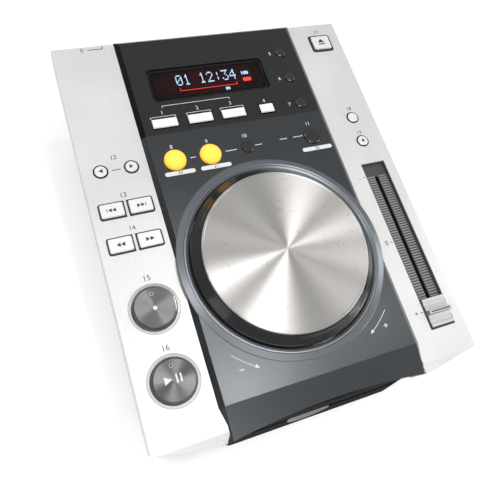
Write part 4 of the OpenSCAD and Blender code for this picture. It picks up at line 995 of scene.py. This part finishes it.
def key_symbols():
    dark = ("dark_ink", "silver_button")
    eject = [[(FADER_X - EJECT_HALF, EJECT_Y), (FADER_X + EJECT_HALF, EJECT_Y), (FADER_X, EJECT_TOP)],
             block(FADER_X - EJECT_HALF, EJECT_BAR_Y, FADER_X + EJECT_HALF, EJECT_BAR_Y + 1)]
    symbol("eject_symbol", "eject_button", "eject", eject, *dark)
    for row, y, size, with_bar in (("track", TRACK_Y, TRACK_SIZE, True),
                                    ("search", SEARCH_Y, SEARCH_SIZE, False)):
        for end, x, way in PAIR_ENDS:
            outlines = skip_symbol(x, y, size, way, with_bar)
            symbol(f"{row}_{end}_symbol", f"{row}_{end}_button", f"{row}_{end}", outlines, *dark)
    for end, x, way in FOLDER_ENDS:
        outlines = [triangle(x, FOLDER_Y, SEARCH_SIZE, way)]
        symbol(f"folder_{end}_symbol", f"folder_{end}_button", f"folder_{end}", outlines, *dark)
    symbol("key_symbol", "key_button", "key", [round_outline(TEMPO_X, KEY_Y, KEY_DOT_R)], *dark)
    play = [triangle(*PLAY_AT, 1)]
    play += [block(x - PAUSE_HALF, PAUSE_FRONT, x + PAUSE_HALF, PAUSE_REAR) for x in PAUSE_XS]
    symbol("play_symbol", "play_cap", "play", play, "white_ink", "brushed_cap")
    cue = [round_outline(BIG_X, CUE_DOT_Y, CUE_DOT_R)]
    symbol("cue_symbol", "cue_cap", "cue", cue, "white_ink", "brushed_cap")
    for name, y in (("cue", CUE_Y + LAMP_UP), ("play", PLAY_Y + LAMP_UP)):
        z = top_at(f"{name}_cap", BIG_X, y)
        rim = curve_line(arc_points(BIG_X, y, LAMP_RIM_R, 0, 360, LAMP_RIM_STEPS), LAMP_RIM_W, z)
        lens = prism(round_outline(BIG_X, y, LAMP_R), z, z + LAMP_T)
        put(f"{name}_lamp_rim", rim, "white_ink", name)
        put(f"{name}_lamp", [lens], "dark_lamp", name)


# ---- wear of the dial ----
WEAR_SEED, WEAR_R, HAIRLINES, SPOTS, SPOT_CORNERS = 11, 50.0, 26, 9, 9
LINE_NEAREST, LINE_LENGTHS, LINE_BENDS, LINE_WIDTHS, BENT_SHARE = 0.02, (0.8, 3.6), (-0.5, 0.5), (0.09, 0.2), 0.7
SPOT_NEAREST, SPOT_SIZES, SPOT_REACH = 0.1, (0.25, 0.6), (0.6, 1.3)


def worn_place(draw, nearest):
    angle, away = draw.uniform(0, 2 * math.pi), WEAR_R * math.sqrt(draw.uniform(nearest, 1.0))
    return JOG_X + away * math.cos(angle), JOG_Y + away * math.sin(angle)


def dial_wear():
    """Short hairlines and a few dull spots on the brushed dial, as years of use leave."""
    draw = random.Random(WEAR_SEED)
    z = top_at("jog_cap", JOG_X + 20, JOG_Y)
    lines, spots = [], []
    for _ in range(HAIRLINES):
        x, y = worn_place(draw, LINE_NEAREST)
        turn, length = draw.uniform(0, math.pi), draw.uniform(*LINE_LENGTHS)
        bend = turn + draw.uniform(*LINE_BENDS)
        middle = (x + length * math.cos(turn), y + length * math.sin(turn))
        rest = length * BENT_SHARE
        end = (middle[0] + rest * math.cos(bend), middle[1] + rest * math.sin(bend))
        lines += curve_line([(x, y), middle, end], draw.uniform(*LINE_WIDTHS), z)
    for _ in range(SPOTS):
        x, y = worn_place(draw, SPOT_NEAREST)
        size = draw.uniform(*SPOT_SIZES)
        turns = [math.radians(360 / SPOT_CORNERS * i) for i in range(SPOT_CORNERS)]
        outline = [(x + size * draw.uniform(*SPOT_REACH) * math.cos(a),
                    y + size * draw.uniform(*SPOT_REACH) * math.sin(a)) for a in turns]
        spots.append(prism(outline, z, z + PRINT_T / 2))
    put("dial_scratches", lines, "scratch", "jog")
    put("dial_spots", spots, "smudge", "jog")


# ---- the lit display: seven rows of five dots for each figure, as bits ----
DOT_FIGURES = {
    "0": (14, 17, 19, 21, 25, 17, 14), "1": (4, 12, 4, 4, 4, 4, 14), "2": (14, 17, 1, 2, 4, 8, 31),
    "3": (31, 2, 4, 2, 1, 17, 14), "4": (2, 6, 10, 18, 31, 2, 2), ":": (0, 4, 4, 0, 4, 4, 0), " ": (0,) * 7,
}
SHOWN = "01 12:34"
DOT_COLUMNS, DOT_PITCH, ROW_PITCH = 5, 0.95, 1.35
DOT_SIZE = (0.52, 0.8, 0.08)
TEXT_X, TEXT_Y = -31.0, 101.0
DOT_LIFT, GLOW_LIFT = 0.1, 0.05
# x, y, width and depth of the red marks, then the small figures
RED_BARS = ((-9.0, 88.4, 42, 0.35), (-30.0, 89.4, 0.35, 2.2), (12.0, 89.4, 0.35, 2.2), (20.5, 91.5, 6.0, 3.0))
SMALL_FIGURES = (("00", 4.0, 85.6, 3.4), ("100", 20.0, 97.0, 4.0))


def display_marks():
    z = top_at("display_module", -7.8, 94)
    points = []
    for place, figure in enumerate(SHOWN):
        for row, bits in enumerate(DOT_FIGURES[figure]):
            for column in range(DOT_COLUMNS):
                if bits >> (DOT_COLUMNS - 1 - column) & 1:
                    step = place * (DOT_COLUMNS + 1) + column
                    points.append((TEXT_X + step * DOT_PITCH, TEXT_Y - row * DOT_PITCH * ROW_PITCH, z + DOT_LIFT))
    put_repeated("display_figures", points, DOT_SIZE, "glow_white")
    z += GLOW_LIFT
    put("display_red", [bar(*place, z) for place in RED_BARS], "glow_red", "case")
    small = [number_parts(*figure, z) for figure in SMALL_FIGURES]
    put("display_small", small, "glow_white", "case")


finish_materials()
dress_nodes()
panel_prints()
wing_prints()
fader_prints()
key_symbols()
knob_line()
dial_wear()
display_marks()
set_world()
set_floor()
set_camera()
set_lights()
bpy.context.scene.view_settings.view_transform = "Standard"
